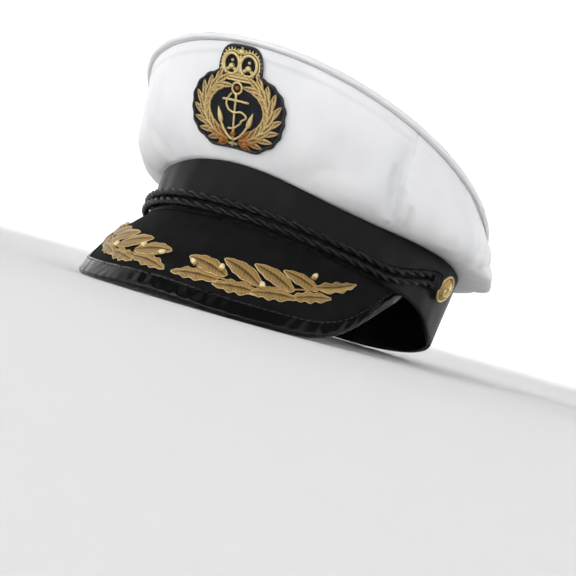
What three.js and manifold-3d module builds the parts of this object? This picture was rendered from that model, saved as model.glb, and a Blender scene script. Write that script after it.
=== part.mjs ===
// Naval officer cap: a soft white satin crown on a black head band, a black peak with a patent binding
// and two oak leaf sprays, a pair of chin cords between two gilt buttons, and an anchor badge.
// Millimetres. The cap faces -Y, and the wearer's left is +X. Each surface is worked out in the wearing
// frame, where z = 0 is the lower plane of the band and the origin is the centre of its oval. The whole
// cap is then tilted back as it rests by itself, on the front of the peak and the back of the band.
import * as THREE from "three";
import { mergeVertices } from "three/addons/utils/BufferGeometryUtils.js";
import Module from "manifold-3d";

const wasm = await Module();
wasm.setup();

// Clearance between pieces that are sewn or pinned together.
const GAP = 0.3;

// Head band: an oval whose stiff front is flat between two soft corners.
const BAND = {
  halfLength: 101.5,
  halfWidth: 89,
  squareness: 1.86,
  frontLimit: 100,
  cornerSoftness: 3,
  height: 42,
  frontDip: 1.5,
  cornerDip: 4.5,
  frontLean: 6,
  sideLean: 3,
  frontArch: 11,
  archTurn: 72,
  archEndTurn: 108,
  wall: 2.5,
};
const BAND_COLUMNS = 60;
const BAND_ROWS = 2;

// Crown: the rim is an oval, narrower to the back, in a plane that rises to the front. Each bulge is how
// far the cloth stands out from the straight line between the band and the rim. It is largest below the
// middle of the line, by the power of the rise.
const RIM = { halfLength: 124.5, halfWidth: 106, taper: 0.09, centreY: -14, height: 72, frontRise: 21 };
const BULGE = { front: 3, side: 17, back: 0, risePower: 0.72 };
const CLOTH = 2;
const END_FLATNESS_POWER = 4;
const SEAM_TURN = 56;
const SIDE_ROWS = 6;
const FRONT_COLUMNS = 20;
const REAR_COLUMNS = 42;
const TOP_DISH = 7;
const TOP_COLUMNS = 48;
const TOP_ROWS = 4;
const PIPING = { radius: 1.5, steps: 60, sides: 6 };

// Folds of the crown's side, a row for each: a crease from one point to another, where turn is degrees
// round from the front to the wearer's left and rise goes from the band at 0 to the rim at 1. Where the
// depth is less than zero, the cloth puffs out instead.
const FOLDS = [
  { turn: 55.5, rise: 0.06, toTurn: 54.5, toRise: 0.66, width: 7.5, depth: 3.2 },
  { turn: 66.5, rise: 0.22, toTurn: 61.5, toRise: 0.78, width: 7, depth: 1.8 },
  { turn: 76, rise: 0.25, toTurn: 84, toRise: 0.8, width: 10, depth: -2.0 },
  { turn: 102, rise: 0.13, toTurn: 114, toRise: 0.13, width: 10, depth: -9.0 },
  { turn: 26, rise: 0.0, toTurn: 40, toRise: 0.4, width: 8, depth: 2.0 },
  { turn: 96, rise: 0.2, toTurn: 112, toRise: 0.7, width: 9, depth: 3.0 },
  { turn: 135, rise: 0.15, toTurn: 128, toRise: 0.8, width: 10, depth: 2.4 },
  { turn: 172, rise: 0.2, toTurn: 184, toRise: 0.75, width: 10, depth: 2.2 },
  { turn: -150, rise: 0.2, toTurn: -142, toRise: 0.8, width: 10, depth: 2.6 },
  { turn: -108, rise: 0.15, toTurn: -100, toRise: 0.7, width: 9, depth: 2.8 },
  { turn: -66, rise: 0.05, toTurn: -62, toRise: 0.6, width: 8, depth: 2.4 },
];
const FOLD_TURN_LENGTH = 1.8;
const FOLD_RISE_LENGTH = 45;
const FOLD_FADE = 0.5;

// Peak: a curved board from the front lower edge of the band to an edge that lies on the floor.
const PEAK = {
  rootTurn: 72,
  halfWidth: 90,
  endY: -43,
  endZ: 4.5,
  frontY: -132,
  centreLift: 1.5,
  liftSpan: 0.5,
  endPower: 18,
  bow: 3,
  fullBowLength: 60,
  thickness: 2,
  rootGap: 0.8,
  bindingReach: 2.3,
  columns: 40,
  rows: 4,
};
const BINDING = { width: 8, lip: 0.7, nose: 1.4, noseBreadth: 0.8, gap: 0.4, mostShare: 0.7 };

// Slope of the plane that the cap rests on, in the wearing frame.
const REST_SLOPE = 0.19;

// Chin cords: both run along the lower front of the band and rise to the buttons at the sides.
const CORD = {
  radius: 2.2,
  frontLow: 13.6,
  frontHigh: 18.6,
  riseTurn: 58,
  endLow: 25.3,
  endHigh: 30.5,
  steps: 42,
  curveSegments: 4,
};
// The buttons droop: each leans down on its shank by an angle.
const BUTTON = {
  turn: 91,
  height: 27.9,
  droop: 13,
  radius: 8,
  faceRadius: 6.9,
  shoulderRadius: 4.8,
  shankRadius: 2,
  shankStart: 0.8,
  lift: 2.4,
  edge: 3.6,
  shoulder: 5.6,
  dome: 6.4,
  sides: 16,
};

// Badge on the crown's front: a felt backing that carries a wreath, an anchor and a small crown. Places
// on it are millimetres from its middle, level and up the cloth. The felt is an oval with full corners,
// joined to a narrower and taller one above and to a squarer foot below, all about the same centre.
const BADGE = { centreTurn: 1.75, centreRise: 0.53, turnRadius: 98, backing: 1.1, relief: 1.1 };
const FELT = { centreY: -4.7, columns: 44, rows: 3 };
const FELT_OVALS = {
  wreath: { halfWidth: 29, reach: 20.2, power: 2.6 },
  crown: { halfWidth: 12.8, reach: 33.4, power: 4.5 },
  foot: { halfWidth: 20.5, reach: 20.2, power: 7 },
};
const WREATH = { centreY: -4.7, radiusX: 20.8, radiusY: 16.4, from: -80, to: 62, stations: 7 };
const WREATH_LEAF = {
  length: 11.9,
  width: 4.6,
  spread: 28,
  end: 0.15,
  fullness: 0.8,
  columns: 4,
  wayStep: 0.02,
};
const WREATH_TIE = { y: -22.2, halfLength: 5, halfWidth: 1.1, columns: 3 };
const ANCHOR = {
  ringY: 6.6,
  ringRadius: 2.9,
  ringHalfTurn: 92,
  ringColumns: 7,
  wire: 1.3,
  thickWire: 1.6,
  stockY: 0.4,
  stockHalf: 8.2,
  stockColumns: 4,
  footY: -19.8,
  shankColumns: 5,
  armRadius: 10,
  armFrom: 184,
  armTo: 356,
  armColumns: 12,
};
const FLUKE = { inwards: 0.8, below: 2.4, outwards: 1.3, above: 5.6, end: 0.2, width: 1.7, columns: 2 };
const CROWN_BASE = { halfWidth: 8.2, low: 10.6, high: 14.2, columns: 5 };
const CROWN_ARCH = {
  x: 4.9,
  y: 18.6,
  radiusX: 4.6,
  radiusY: 5.4,
  from: -64,
  to: 244,
  bar: 1.6,
  columns: 12,
};
const CROWN_ORB = { low: 23.4, high: 26.6, radius: 1.6, end: 0.3, fullness: 0.7, columns: 4 };
const CROWN_UPRIGHT = { halfWidth: 0.8, high: 24, columns: 1 };

// Oak spray on each half of the peak, a row for each leaf. Along is a share of the half peak from its
// middle, across is a share of its depth from the band to the edge, and the width is in millimetres. The
// rows are of the wearer's left side. The right side mirrors them about the share mirrorAlong.
const OAK_LEAVES = [
  { along: 0.24, across: 0.66, tipAlong: 0.07, tipAcross: 0.58, width: 10.2 },
  { along: 0.22, across: 0.73, tipAlong: 0.04, tipAcross: 0.79, width: 8.6 },
  { along: 0.37, across: 0.65, tipAlong: 0.205, tipAcross: 0.49, width: 10.2 },
  { along: 0.38, across: 0.73, tipAlong: 0.21, tipAcross: 0.78, width: 9.2 },
  { along: 0.49, across: 0.6, tipAlong: 0.32, tipAcross: 0.44, width: 10 },
  { along: 0.51, across: 0.67, tipAlong: 0.345, tipAcross: 0.75, width: 9.2 },
  { along: 0.58, across: 0.5, tipAlong: 0.43, tipAcross: 0.4, width: 9 },
  { along: 0.64, across: 0.55, tipAlong: 0.49, tipAcross: 0.68, width: 8.6 },
  { along: 0.56, across: 0.48, tipAlong: 0.73, tipAcross: 0.26, width: 9.6 },
];
const OAK = { thickness: 1, columns: 8, chartLength: 125, mirrorAlong: 0.0225 };
const OAK_OUTLINE = {
  lobes: 4,
  lobeMiddle: 0.82,
  lobeDepth: 0.18,
  fullness: 0.8,
  footShare: 0.08,
  spanShare: 0.9,
};
const OAK_STEM = { along: 0.16, across: 0.71, toAlong: 0.6, toAcross: 0.47, halfWidth: 1, columns: 8 };

const FINISHES = {
  satin: { color: 0xf3f3f4, roughness: 0.42, metalness: 0 },
  bandCloth: { color: 0x17171a, roughness: 0.5, metalness: 0 },
  peakCloth: { color: 0x2b2b2f, roughness: 0.8, metalness: 0 },
  patent: { color: 0x0c0c0d, roughness: 0.15, metalness: 0 },
  cord: { color: 0x121213, roughness: 0.55, metalness: 0 },
  felt: { color: 0x191a22, roughness: 0.9, metalness: 0 },
  goldThread: { color: 0xb8924c, roughness: 0.45, metalness: 0.6 },
  gilt: { color: 0xd0b36c, roughness: 0.3, metalness: 1 },
};

const radians = THREE.MathUtils.degToRad;
const clamp = THREE.MathUtils.clamp;
const UP = new THREE.Vector3(0, 0, 1);

// Steps by which a surface's direction is measured: a small turn, and a small share of a surface. Close
// to a surface's border the direction is taken a little inside it.
const SMALL_TURN = 0.01;
const SMALL_SHARE = 1e-3;
const BORDER_SHARE = 0.01;
const BORDER_ALONG = 0.005;

// Corners of a geometry closer than this are one corner.
const WELD = 1e-4;

// The same turn between -180 and 180 degrees, in radians.
function wrapTurn(turn) {
  return THREE.MathUtils.euclideanModulo(turn + Math.PI, 2 * Math.PI) - Math.PI;
}

// Level direction that points away from the cap's middle.
function levelOut(turn) {
  return new THREE.Vector3(Math.sin(turn), -Math.cos(turn), 0);
}

// Share of the band's side that lies behind the arch over the peak.
function behindArch(turn) {
  const side = Math.abs(wrapTurn(turn));
  return THREE.MathUtils.smoothstep(side, radians(BAND.archTurn), radians(BAND.archEndTurn));
}

// How far the band leans out over its whole height: forwards in front, and to the sides behind.
function bandLean(turn) {
  const side = BAND.sideLean * Math.sin(turn) * behindArch(turn);
  return new THREE.Vector3(side, -BAND.frontLean * Math.max(Math.cos(turn), 0) ** 2, 0);
}

// Outer face of the band. rise goes from its lower edge at 0 to its upper edge at 1. The lower edge
// arches up over the peak. The upper edge is a little lower at the front, and dips half way to each side.
function bandPoint(turn, rise) {
  const angle = wrapTurn(turn);
  const sine = Math.sin(angle);
  const cosine = Math.cos(angle);
  const power = 2 / BAND.squareness;
  const front = Math.max(cosine, 0) ** 2;
  const low = BAND.frontArch * (1 - behindArch(angle));
  const dip = BAND.frontDip * front + BAND.cornerDip * 4 * front * sine ** 2;
  const z = THREE.MathUtils.lerp(low, BAND.height - dip, rise);
  const x = BAND.halfWidth * Math.sign(sine) * Math.abs(sine) ** power;
  const oval = -BAND.halfLength * Math.sign(cosine) * Math.abs(cosine) ** power;
  const beyond = (-BAND.frontLimit - oval) / BAND.cornerSoftness;
  const flat = oval + BAND.cornerSoftness * Math.log1p(Math.exp(beyond));
  return new THREE.Vector3(x, flat, z).addScaledVector(bandLean(angle), z / BAND.height);
}

// A place on the band's outer face at a height: half way up, moved along the lean.
function bandAt(turn, z) {
  const point = bandPoint(turn, 0.5);
  return point.addScaledVector(bandLean(turn), (z - point.z) / BAND.height).setZ(z);
}

// Level direction square to the band's face, outwards.
function bandOut(turn) {
  const way = bandPoint(turn + SMALL_TURN, 0.5).sub(bandPoint(turn - SMALL_TURN, 0.5));
  return new THREE.Vector3(way.y, -way.x, 0).normalize();
}

const RIM_MIDDLE = new THREE.Vector3(0, RIM.centreY, RIM.height);

function rimPoint(turn) {
  const taper = 1 - (RIM.taper * (1 - Math.cos(turn))) / 2;
  const x = RIM.halfWidth * Math.sin(turn) * taper;
  const y = RIM.centreY - RIM.halfLength * Math.cos(turn);
  return new THREE.Vector3(x, y, RIM.height + RIM.frontRise * Math.cos(turn));
}

// How far the folds press the cloth in at a place on the crown's side. They fade at the band and the rim.
function foldDepth(turn, rise) {
  const place = new THREE.Vector3(
    THREE.MathUtils.radToDeg(wrapTurn(turn)) * FOLD_TURN_LENGTH,
    rise * FOLD_RISE_LENGTH,
    0,
  );
  let depth = 0;
  for (const fold of FOLDS) {
    const from = new THREE.Vector3(fold.turn * FOLD_TURN_LENGTH, fold.rise * FOLD_RISE_LENGTH, 0);
    const to = new THREE.Vector3(fold.toTurn * FOLD_TURN_LENGTH, fold.toRise * FOLD_RISE_LENGTH, 0);
    const nearest = new THREE.Line3(from, to).closestPointToPoint(place, true, new THREE.Vector3());
    depth += fold.depth * Math.exp(-((nearest.distanceTo(place) / fold.width) ** 2));
  }
  return depth * Math.sin(Math.PI * clamp(rise, 0, 1)) ** FOLD_FADE;
}

// Outer face of the crown's side, from the top of the band to the rim.
function crownPoint(turn, rise) {
  const low = bandPoint(turn, 1).addScaledVector(UP, GAP);
  const chord = rimPoint(turn).sub(low);
  const out = levelOut(turn);
  const run = chord.dot(out);
  const square = out
    .clone()
    .multiplyScalar(chord.z)
    .addScaledVector(UP, -run)
    .divideScalar(Math.hypot(run, chord.z));
  const cosine = Math.cos(turn);
  const end = cosine > 0 ? BULGE.front : BULGE.back;
  const bulge = THREE.MathUtils.lerp(BULGE.side, end, cosine ** 2);
  const belly = bulge * Math.sin(Math.PI * clamp(rise, 0, 1) ** BULGE.risePower);
  return low.addScaledVector(chord, rise).addScaledVector(square, belly - foldDepth(turn, rise));
}

// Top panel: inset goes from the rim at 0 to the middle at 1. The cloth hangs down a little.
function topPoint(turn, inset) {
  const point = rimPoint(turn).lerp(RIM_MIDDLE, inset);
  return point.addScaledVector(UP, -TOP_DISH * Math.sin((Math.PI / 2) * inset) ** 2);
}

// The peak's edge in the wearing frame. angle is a quarter turn at each end of the edge. The edge stands
// over the rest plane by as much as the binding reaches below it.
function peakEdge(angle) {
  const side = Math.abs(Math.sin(angle));
  const y = PEAK.endY + (PEAK.frontY - PEAK.endY) * Math.cos(angle);
  const endLift = PEAK.endZ + REST_SLOPE * (BAND.halfLength - PEAK.endY);
  const middle = PEAK.centreLift * clamp(1 - (side / PEAK.liftSpan) ** 2, 0, 1) ** 2;
  const rest = PEAK.bindingReach - REST_SLOPE * (BAND.halfLength - y);
  const z = rest + middle + endLift * side ** PEAK.endPower;
  return new THREE.Vector3(PEAK.halfWidth * Math.sin(angle), y, z);
}

// Top face of the peak. along goes from -1 to 1 across the cap, and depth from the band to the edge.
function peakTop(along, depth) {
  const turn = radians(PEAK.rootTurn) * along;
  const root = bandPoint(turn, 0).addScaledVector(UP, -PEAK.rootGap);
  const chord = peakEdge((along * Math.PI) / 2).sub(root);
  const rootWay = bandPoint(turn + SMALL_TURN, 0).sub(bandPoint(turn - SMALL_TURN, 0));
  const square = new THREE.Vector3().crossVectors(rootWay, chord).normalize();
  if (square.z < 0) square.negate();
  const bow = PEAK.bow * Math.min(chord.length() / PEAK.fullBowLength, 1) * Math.sin(Math.PI * depth);
  return root.addScaledVector(chord, depth).addScaledVector(square, bow);
}

// A surface's unit normal by small steps, turned to the side that the guide points to.
function normalOf(surface, u, v, guide) {
  const along = surface(u + SMALL_SHARE, v).sub(surface(u - SMALL_SHARE, v));
  const across = surface(u, v + SMALL_SHARE).sub(surface(u, v - SMALL_SHARE));
  const normal = along.cross(across).normalize();
  return normal.dot(guide) < 0 ? normal.negate() : normal;
}

// A place over the peak's top face.
function peakPoint(along, depth, height) {
  const innerAlong = clamp(along, BORDER_ALONG - 1, 1 - BORDER_ALONG);
  const innerDepth = clamp(depth, BORDER_SHARE, 1 - BORDER_SHARE);
  const normal = normalOf(peakTop, innerAlong, innerDepth, UP);
  return peakTop(along, depth).addScaledVector(normal, height);
}

// A place on the crown's side, moved out by a height. At the band it moves level, and at the rim in the
// rim's plane, so that the wall ends flat on what it meets. The power keeps this close to the two ends.
function crownOffset(turn, rise, height) {
  const out = levelOut(turn);
  const flat = out.clone().lerp(rimPoint(turn).sub(RIM_MIDDLE).normalize(), rise);
  const flatness = Math.abs(2 * rise - 1) ** END_FLATNESS_POWER;
  const normal = normalOf(crownPoint, turn, clamp(rise, BORDER_SHARE, 1 - BORDER_SHARE), out);
  return crownPoint(turn, rise).addScaledVector(normal.lerp(flat, flatness).normalize(), height);
}

// Turns the triangles of a closed geometry round if they face inwards.
function faceOutwards(geometry) {
  const places = geometry.getAttribute("position");
  const corner = (i) => new THREE.Vector3().fromBufferAttribute(places, geometry.index.array[i]);
  let volume = 0;
  for (let i = 0; i < geometry.index.count; i += 3) {
    volume += corner(i).dot(corner(i + 1).cross(corner(i + 2)));
  }
  if (volume < 0) geometry.index.array.reverse();
  return geometry;
}

function solidGeometry(positions, triangles) {
  const geometry = new THREE.BufferGeometry().setFromPoints(positions);
  geometry.setIndex(triangles.flat());
  return faceOutwards(geometry);
}

// Two triangles of a four-sided face, split along its shorter diagonal. A side of no length leaves one.
function splitFace(positions, a, b, c, d) {
  const firstIsShorter = positions[a].distanceTo(positions[c]) <= positions[b].distanceTo(positions[d]);
  const halves = firstIsShorter
    ? [[a, b, c], [a, c, d]]
    : [[a, b, d], [b, c, d]];
  return halves.filter(([p, q, r]) => p !== q && q !== r && r !== p);
}

// A closed wall between an outer and an inner face, each a function of two shares from 0 to 1.
// A wall that wraps joins its last column to its first. A wall with a pole ends in one point.
function wallGeometry(outer, inner, columns, rows, { wraps = false, pole = false } = {}) {
  const perRow = wraps ? columns : columns + 1;
  const fullRows = pole ? rows : rows + 1;
  const perFace = perRow * fullRows + (pole ? 1 : 0);
  const positions = [];
  for (const face of [outer, inner]) {
    for (let row = 0; row < fullRows; row++) {
      for (let column = 0; column < perRow; column++) {
        positions.push(face(column / columns, row / rows));
      }
    }
    if (pole) positions.push(face(0, 1));
  }
  const at = (face, column, row) =>
    face * perFace + (pole && row === rows ? perRow * fullRows : row * perRow + (column % perRow));
  const triangles = [];
  const quad = (...corners) => triangles.push(...splitFace(positions, ...corners));
  for (let row = 0; row < rows; row++) {
    for (let column = 0; column < columns; column++) {
      const next = column + 1;
      quad(at(0, column, row), at(0, next, row), at(0, next, row + 1), at(0, column, row + 1));
      quad(at(1, column, row), at(1, column, row + 1), at(1, next, row + 1), at(1, next, row));
    }
  }
  for (let column = 0; column < columns; column++) {
    const next = column + 1;
    quad(at(0, column, 0), at(1, column, 0), at(1, next, 0), at(0, next, 0));
    if (!pole) quad(at(0, next, rows), at(1, next, rows), at(1, column, rows), at(0, column, rows));
  }
  for (let row = 0; row < rows && !wraps; row++) {
    quad(at(0, 0, row), at(0, 0, row + 1), at(1, 0, row + 1), at(1, 0, row));
    quad(at(0, columns, row), at(1, columns, row), at(1, columns, row + 1), at(0, columns, row + 1));
  }
  return solidGeometry(positions, triangles);
}

// A closed body swept through sections with equal numbers of points. Where it doesn't close on itself,
// flat caps end it, cut into triangles by the section's own flat outline.
function sweepGeometry(sections, outline, closes) {
  const count = outline.length;
  const positions = sections.flat();
  const triangles = [];
  const spans = closes ? sections.length : sections.length - 1;
  for (let span = 0; span < spans; span++) {
    const here = span * count;
    const there = ((span + 1) % sections.length) * count;
    for (let point = 0; point < count; point++) {
      const next = (point + 1) % count;
      const corners = [here + point, here + next, there + next, there + point];
      triangles.push(...splitFace(positions, ...corners));
    }
  }
  if (!closes) {
    const last = (sections.length - 1) * count;
    for (const [a, b, c] of THREE.ShapeUtils.triangulateShape(outline, [])) {
      const turned = THREE.ShapeUtils.isClockWise(outline) ? [a, b, c] : [a, c, b];
      triangles.push(turned);
      triangles.push([last + turned[0], last + turned[2], last + turned[1]]);
    }
  }
  return solidGeometry(positions, triangles);
}

// A closed geometry as a solid that can be joined and cut.
function solidOf(geometry) {
  const bare = new THREE.BufferGeometry();
  bare.setAttribute("position", geometry.getAttribute("position"));
  bare.setIndex(geometry.getIndex());
  const merged = mergeVertices(bare, WELD);
  const mesh = new wasm.Mesh({
    numProp: 3,
    vertProperties: new Float32Array(merged.attributes.position.array),
    triVerts: new Uint32Array(merged.index.array),
  });
  return new wasm.Manifold(mesh);
}

// Joins closed geometries into one body, and cuts others away from it. Crumbs left by the cuts are
// dropped.
function fuse(geometries, cutters = []) {
  const joined = geometries.map(solidOf).reduce((whole, solid) => whole.add(solid));
  const cut = cutters.map(solidOf).reduce((whole, solid) => whole.subtract(solid), joined);
  const bodies = cut.decompose().sort((a, b) => b.volume() - a.volume());
  const mesh = bodies[0].getMesh();
  const fused = new THREE.BufferGeometry();
  fused.setAttribute("position", new THREE.BufferAttribute(new Float32Array(mesh.vertProperties), 3));
  fused.setIndex(new THREE.BufferAttribute(new Uint32Array(mesh.triVerts), 1));
  return fused;
}

// Lays a flat geometry on a curved chart, which takes two flat places and a height.
function bend(geometry, chart) {
  const places = geometry.getAttribute("position");
  for (let i = 0; i < places.count; i++) {
    const point = chart(places.getX(i), places.getY(i), places.getZ(i));
    places.setXYZ(i, point.x, point.y, point.z);
  }
  return faceOutwards(geometry);
}

// A flat strip along a path, with its two sides a half width away from it. Both are functions of a
// share from 0 to 1. The strip lies between two heights.
function ribbon(path, halfWidth, columns, low, high) {
  const face = (height) => (u, v) => {
    const way = path(u + SMALL_SHARE).sub(path(u - SMALL_SHARE)).normalize();
    const reach = halfWidth(u) * (2 * v - 1);
    const place = path(u).add(new THREE.Vector2(-way.y, way.x).multiplyScalar(reach));
    return new THREE.Vector3(place.x, place.y, height);
  };
  return wallGeometry(face(high), face(low), columns, 1);
}

function straight(from, to) {
  return (share) => from.clone().lerp(to, share);
}

function arc(x, y, radiusX, radiusY, from, to) {
  return (share) => {
    const angle = radians(THREE.MathUtils.lerp(from, to, share));
    return new THREE.Vector2(x + radiusX * Math.cos(angle), y + radiusY * Math.sin(angle));
  };
}

function finish(name) {
  return new THREE.MeshStandardMaterial({ ...FINISHES[name], side: THREE.FrontSide });
}

const cap = new THREE.Group();

function addPiece(name, geometry, finishName) {
  const mesh = new THREE.Mesh(geometry, finish(finishName));
  mesh.name = name;
  cap.add(mesh);
}

// Head band.
addPiece(
  "band",
  wallGeometry(
    (u, v) => bandPoint(u * 2 * Math.PI, v),
    (u, v) => bandPoint(u * 2 * Math.PI, v).addScaledVector(bandOut(u * 2 * Math.PI), -BAND.wall),
    BAND_COLUMNS,
    BAND_ROWS,
    { wraps: true },
  ),
  "bandCloth",
);

// Crown side: a front panel and a rear panel that meet at two upright seams.
const SEAM_HALF_GAP = GAP / 2 / RIM.halfWidth;

function sidePanel(from, to, columns) {
  const turnAt = (u) => THREE.MathUtils.lerp(from + SEAM_HALF_GAP, to - SEAM_HALF_GAP, u);
  return wallGeometry(
    (u, v) => crownPoint(turnAt(u), v),
    (u, v) => crownOffset(turnAt(u), v, -CLOTH),
    columns,
    SIDE_ROWS,
  );
}

addPiece("crown_front", sidePanel(-radians(SEAM_TURN), radians(SEAM_TURN), FRONT_COLUMNS), "satin");
addPiece("crown_rear", sidePanel(radians(SEAM_TURN), radians(360 - SEAM_TURN), REAR_COLUMNS), "satin");

// Top panel, which lies on the upper ends of the side panels.
addPiece(
  "crown_top",
  wallGeometry(
    (u, v) => topPoint(u * 2 * Math.PI, v).addScaledVector(UP, GAP + CLOTH),
    (u, v) => topPoint(u * 2 * Math.PI, v).addScaledVector(UP, GAP),
    TOP_COLUMNS,
    TOP_ROWS,
    { wraps: true, pole: true },
  ),
  "satin",
);

// Piping round the rim, in front of the joint between the top and the sides.
function circleOutline(radius, sides) {
  return Array.from({ length: sides }, (_, i) => {
    const angle = (i / sides) * 2 * Math.PI;
    return new THREE.Vector2(radius * Math.cos(angle), radius * Math.sin(angle));
  });
}

const pipingOutline = circleOutline(PIPING.radius, PIPING.sides);
const pipingSections = Array.from({ length: PIPING.steps }, (_, i) => {
  const turn = (i / PIPING.steps) * 2 * Math.PI;
  const out = levelOut(turn);
  const centre = rimPoint(turn)
    .addScaledVector(out, PIPING.radius + 2 * GAP)
    .addScaledVector(UP, PIPING.radius);
  return pipingOutline.map((p) => centre.clone().addScaledVector(out, p.x).addScaledVector(UP, p.y));
});
addPiece("crown_piping", sweepGeometry(pipingSections, pipingOutline, true), "satin");

// Peak and its binding. The binding is a folded strip that holds the peak's edge from both sides.
// Columns stand closer together towards the peak's ends, where it turns up to the band.
function peakColumn(share) {
  return Math.sin((Math.PI / 2) * (2 * share - 1));
}

// Share of the peak's depth that the binding covers. It narrows towards the peak's short ends.
function bindingShare(along) {
  const length = peakTop(along, 0).distanceTo(peakTop(along, 1));
  return Math.min(BINDING.width / length, BINDING.mostShare);
}

// Depth of a row of the peak: the last row is the one under the binding.
function peakRow(along, share) {
  const covered = bindingShare(along);
  const lastRow = 1 - 1 / PEAK.rows;
  if (share > lastRow) return 1 - covered * (1 - share) * PEAK.rows;
  return (share / lastRow) * (1 - covered);
}

function peakFace(height) {
  return (u, v) => peakPoint(peakColumn(u), peakRow(peakColumn(u), v), height);
}

addPiece(
  "peak",
  wallGeometry(peakFace(0), peakFace(-PEAK.thickness), PEAK.columns, PEAK.rows),
  "peakCloth",
);

// Section of the binding: x is the distance past the peak's edge and y the height over its top face.
const under = -PEAK.thickness;
const noseShoulder = BINDING.gap + BINDING.nose * BINDING.noseBreadth;
const noseRise = BINDING.lip * (1 - BINDING.noseBreadth);
const bindingOutline = [
  [-BINDING.width, BINDING.gap],
  [BINDING.gap, BINDING.gap],
  [BINDING.gap, under - BINDING.gap],
  [-BINDING.width, under - BINDING.gap],
  [-BINDING.width, under - BINDING.gap - BINDING.lip],
  [0, under - BINDING.gap - BINDING.lip],
  [noseShoulder, under - noseRise],
  [BINDING.gap + BINDING.nose, under / 2],
  [noseShoulder, noseRise],
  [0, BINDING.gap + BINDING.lip],
  [-BINDING.width, BINDING.gap + BINDING.lip],
].map(([x, y]) => new THREE.Vector2(x, y));

function bindingSection(along) {
  const length = peakTop(along, 0).distanceTo(peakTop(along, 1));
  return bindingOutline.map((p) => {
    const past = p.x < 0 ? -bindingShare(along) : p.x / length;
    return peakPoint(along, 1 + past, p.y);
  });
}

const bindingSections = Array.from({ length: PEAK.columns + 1 }, (_, i) =>
  bindingSection(peakColumn(i / PEAK.columns)),
);
addPiece("peak_binding", sweepGeometry(bindingSections, bindingOutline, false), "patent");

// Chin cords: each runs from button to button.
class CordPath extends THREE.Curve {
  constructor(frontHeight, endHeight) {
    super();
    this.frontHeight = frontHeight;
    this.endHeight = endHeight;
    this.endTurn = radians(BUTTON.turn) - (BUTTON.radius + 2 * GAP) / BAND.halfWidth;
  }

  getPoint(share, target = new THREE.Vector3()) {
    const turn = (2 * share - 1) * this.endTurn;
    const rise = THREE.MathUtils.smoothstep(Math.abs(turn), radians(CORD.riseTurn), this.endTurn);
    const z = THREE.MathUtils.lerp(this.frontHeight, this.endHeight, rise);
    return target.copy(bandAt(turn, z)).addScaledVector(bandOut(turn), CORD.radius + 2 * GAP);
  }
}

function cordGeometry(frontHeight, endHeight) {
  const circle = new THREE.Shape().absarc(0, 0, CORD.radius, 0, 2 * Math.PI);
  return new THREE.ExtrudeGeometry(circle, {
    steps: CORD.steps,
    curveSegments: CORD.curveSegments,
    extrudePath: new CordPath(frontHeight, endHeight),
  });
}

addPiece("chin_cord_lower", cordGeometry(CORD.frontLow, CORD.endLow), "cord");
addPiece("chin_cord_upper", cordGeometry(CORD.frontHigh, CORD.endHigh), "cord");

// Buttons: a domed head with a raised edge on a short shank, that leans down a little.
function buttonGeometry(side) {
  const profile = [
    [0, BUTTON.shankStart],
    [BUTTON.shankRadius, BUTTON.shankStart],
    [BUTTON.shankRadius, BUTTON.lift],
    [BUTTON.radius, BUTTON.lift],
    [BUTTON.radius, BUTTON.edge],
    [BUTTON.faceRadius, BUTTON.edge],
    [BUTTON.shoulderRadius, BUTTON.shoulder],
    [0, BUTTON.dome],
  ].map(([x, y]) => new THREE.Vector2(x, y));
  const turn = side * radians(BUTTON.turn);
  const seat = bandAt(turn, BUTTON.height);
  const axis = bandOut(turn).addScaledVector(UP, -Math.tan(radians(BUTTON.droop))).normalize();
  const facing = new THREE.Quaternion().setFromUnitVectors(new THREE.Vector3(0, 1, 0), axis);
  const head = new THREE.LatheGeometry(profile, BUTTON.sides).applyQuaternion(facing);
  return head.translate(seat.x, seat.y, seat.z);
}

addPiece("button_left", buttonGeometry(1), "gilt");
addPiece("button_right", buttonGeometry(-1), "gilt");

// Badge chart: x is level across the crown's front and y runs up it, both in millimetres from the
// badge's middle, and the height is out of the cloth.
const panelLength = crownPoint(0, 0).distanceTo(crownPoint(0, 1));

function badgeChart(x, y, height) {
  const turn = radians(BADGE.centreTurn) + x / BADGE.turnRadius;
  const rise = BADGE.centreRise + y / panelLength;
  const normal = normalOf(crownPoint, turn, rise, levelOut(turn));
  return crownPoint(turn, rise).addScaledVector(normal, GAP + height);
}

// Distance from an oval's centre to its edge. The higher the power, the fuller its corners.
function ovalReach({ halfWidth, reach, power }, angle) {
  const level = Math.abs(Math.cos(angle)) / halfWidth;
  const upright = Math.abs(Math.sin(angle)) / reach;
  return (level ** power + upright ** power) ** (-1 / power);
}

// The felt's edge: the outermost of its ovals. The crown's only counts upwards, the foot's downwards.
function feltReach(angle) {
  const other = Math.sin(angle) > 0 ? FELT_OVALS.crown : FELT_OVALS.foot;
  return Math.max(ovalReach(FELT_OVALS.wreath, angle), ovalReach(other, angle));
}

function feltPoint(share, inset, height) {
  const angle = share * 2 * Math.PI + Math.PI / 2;
  const distance = feltReach(angle) * (1 - inset);
  return badgeChart(distance * Math.cos(angle), FELT.centreY + distance * Math.sin(angle), height);
}

addPiece(
  "badge_backing",
  wallGeometry(
    (u, v) => feltPoint(u, v, BADGE.backing),
    (u, v) => feltPoint(u, v, 0),
    FELT.columns,
    FELT.rows,
    { wraps: true, pole: true },
  ),
  "felt",
);

// The ornaments are laid between these two heights. Rooms cut from the wreath reach past both.
const ORNAMENT = { low: BADGE.backing + GAP, high: BADGE.backing + GAP + BADGE.relief };
const ROOM = { low: ORNAMENT.low - 1, high: ORNAMENT.high + 1 };
const ROOM_GAP = GAP + 0.1;

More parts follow.
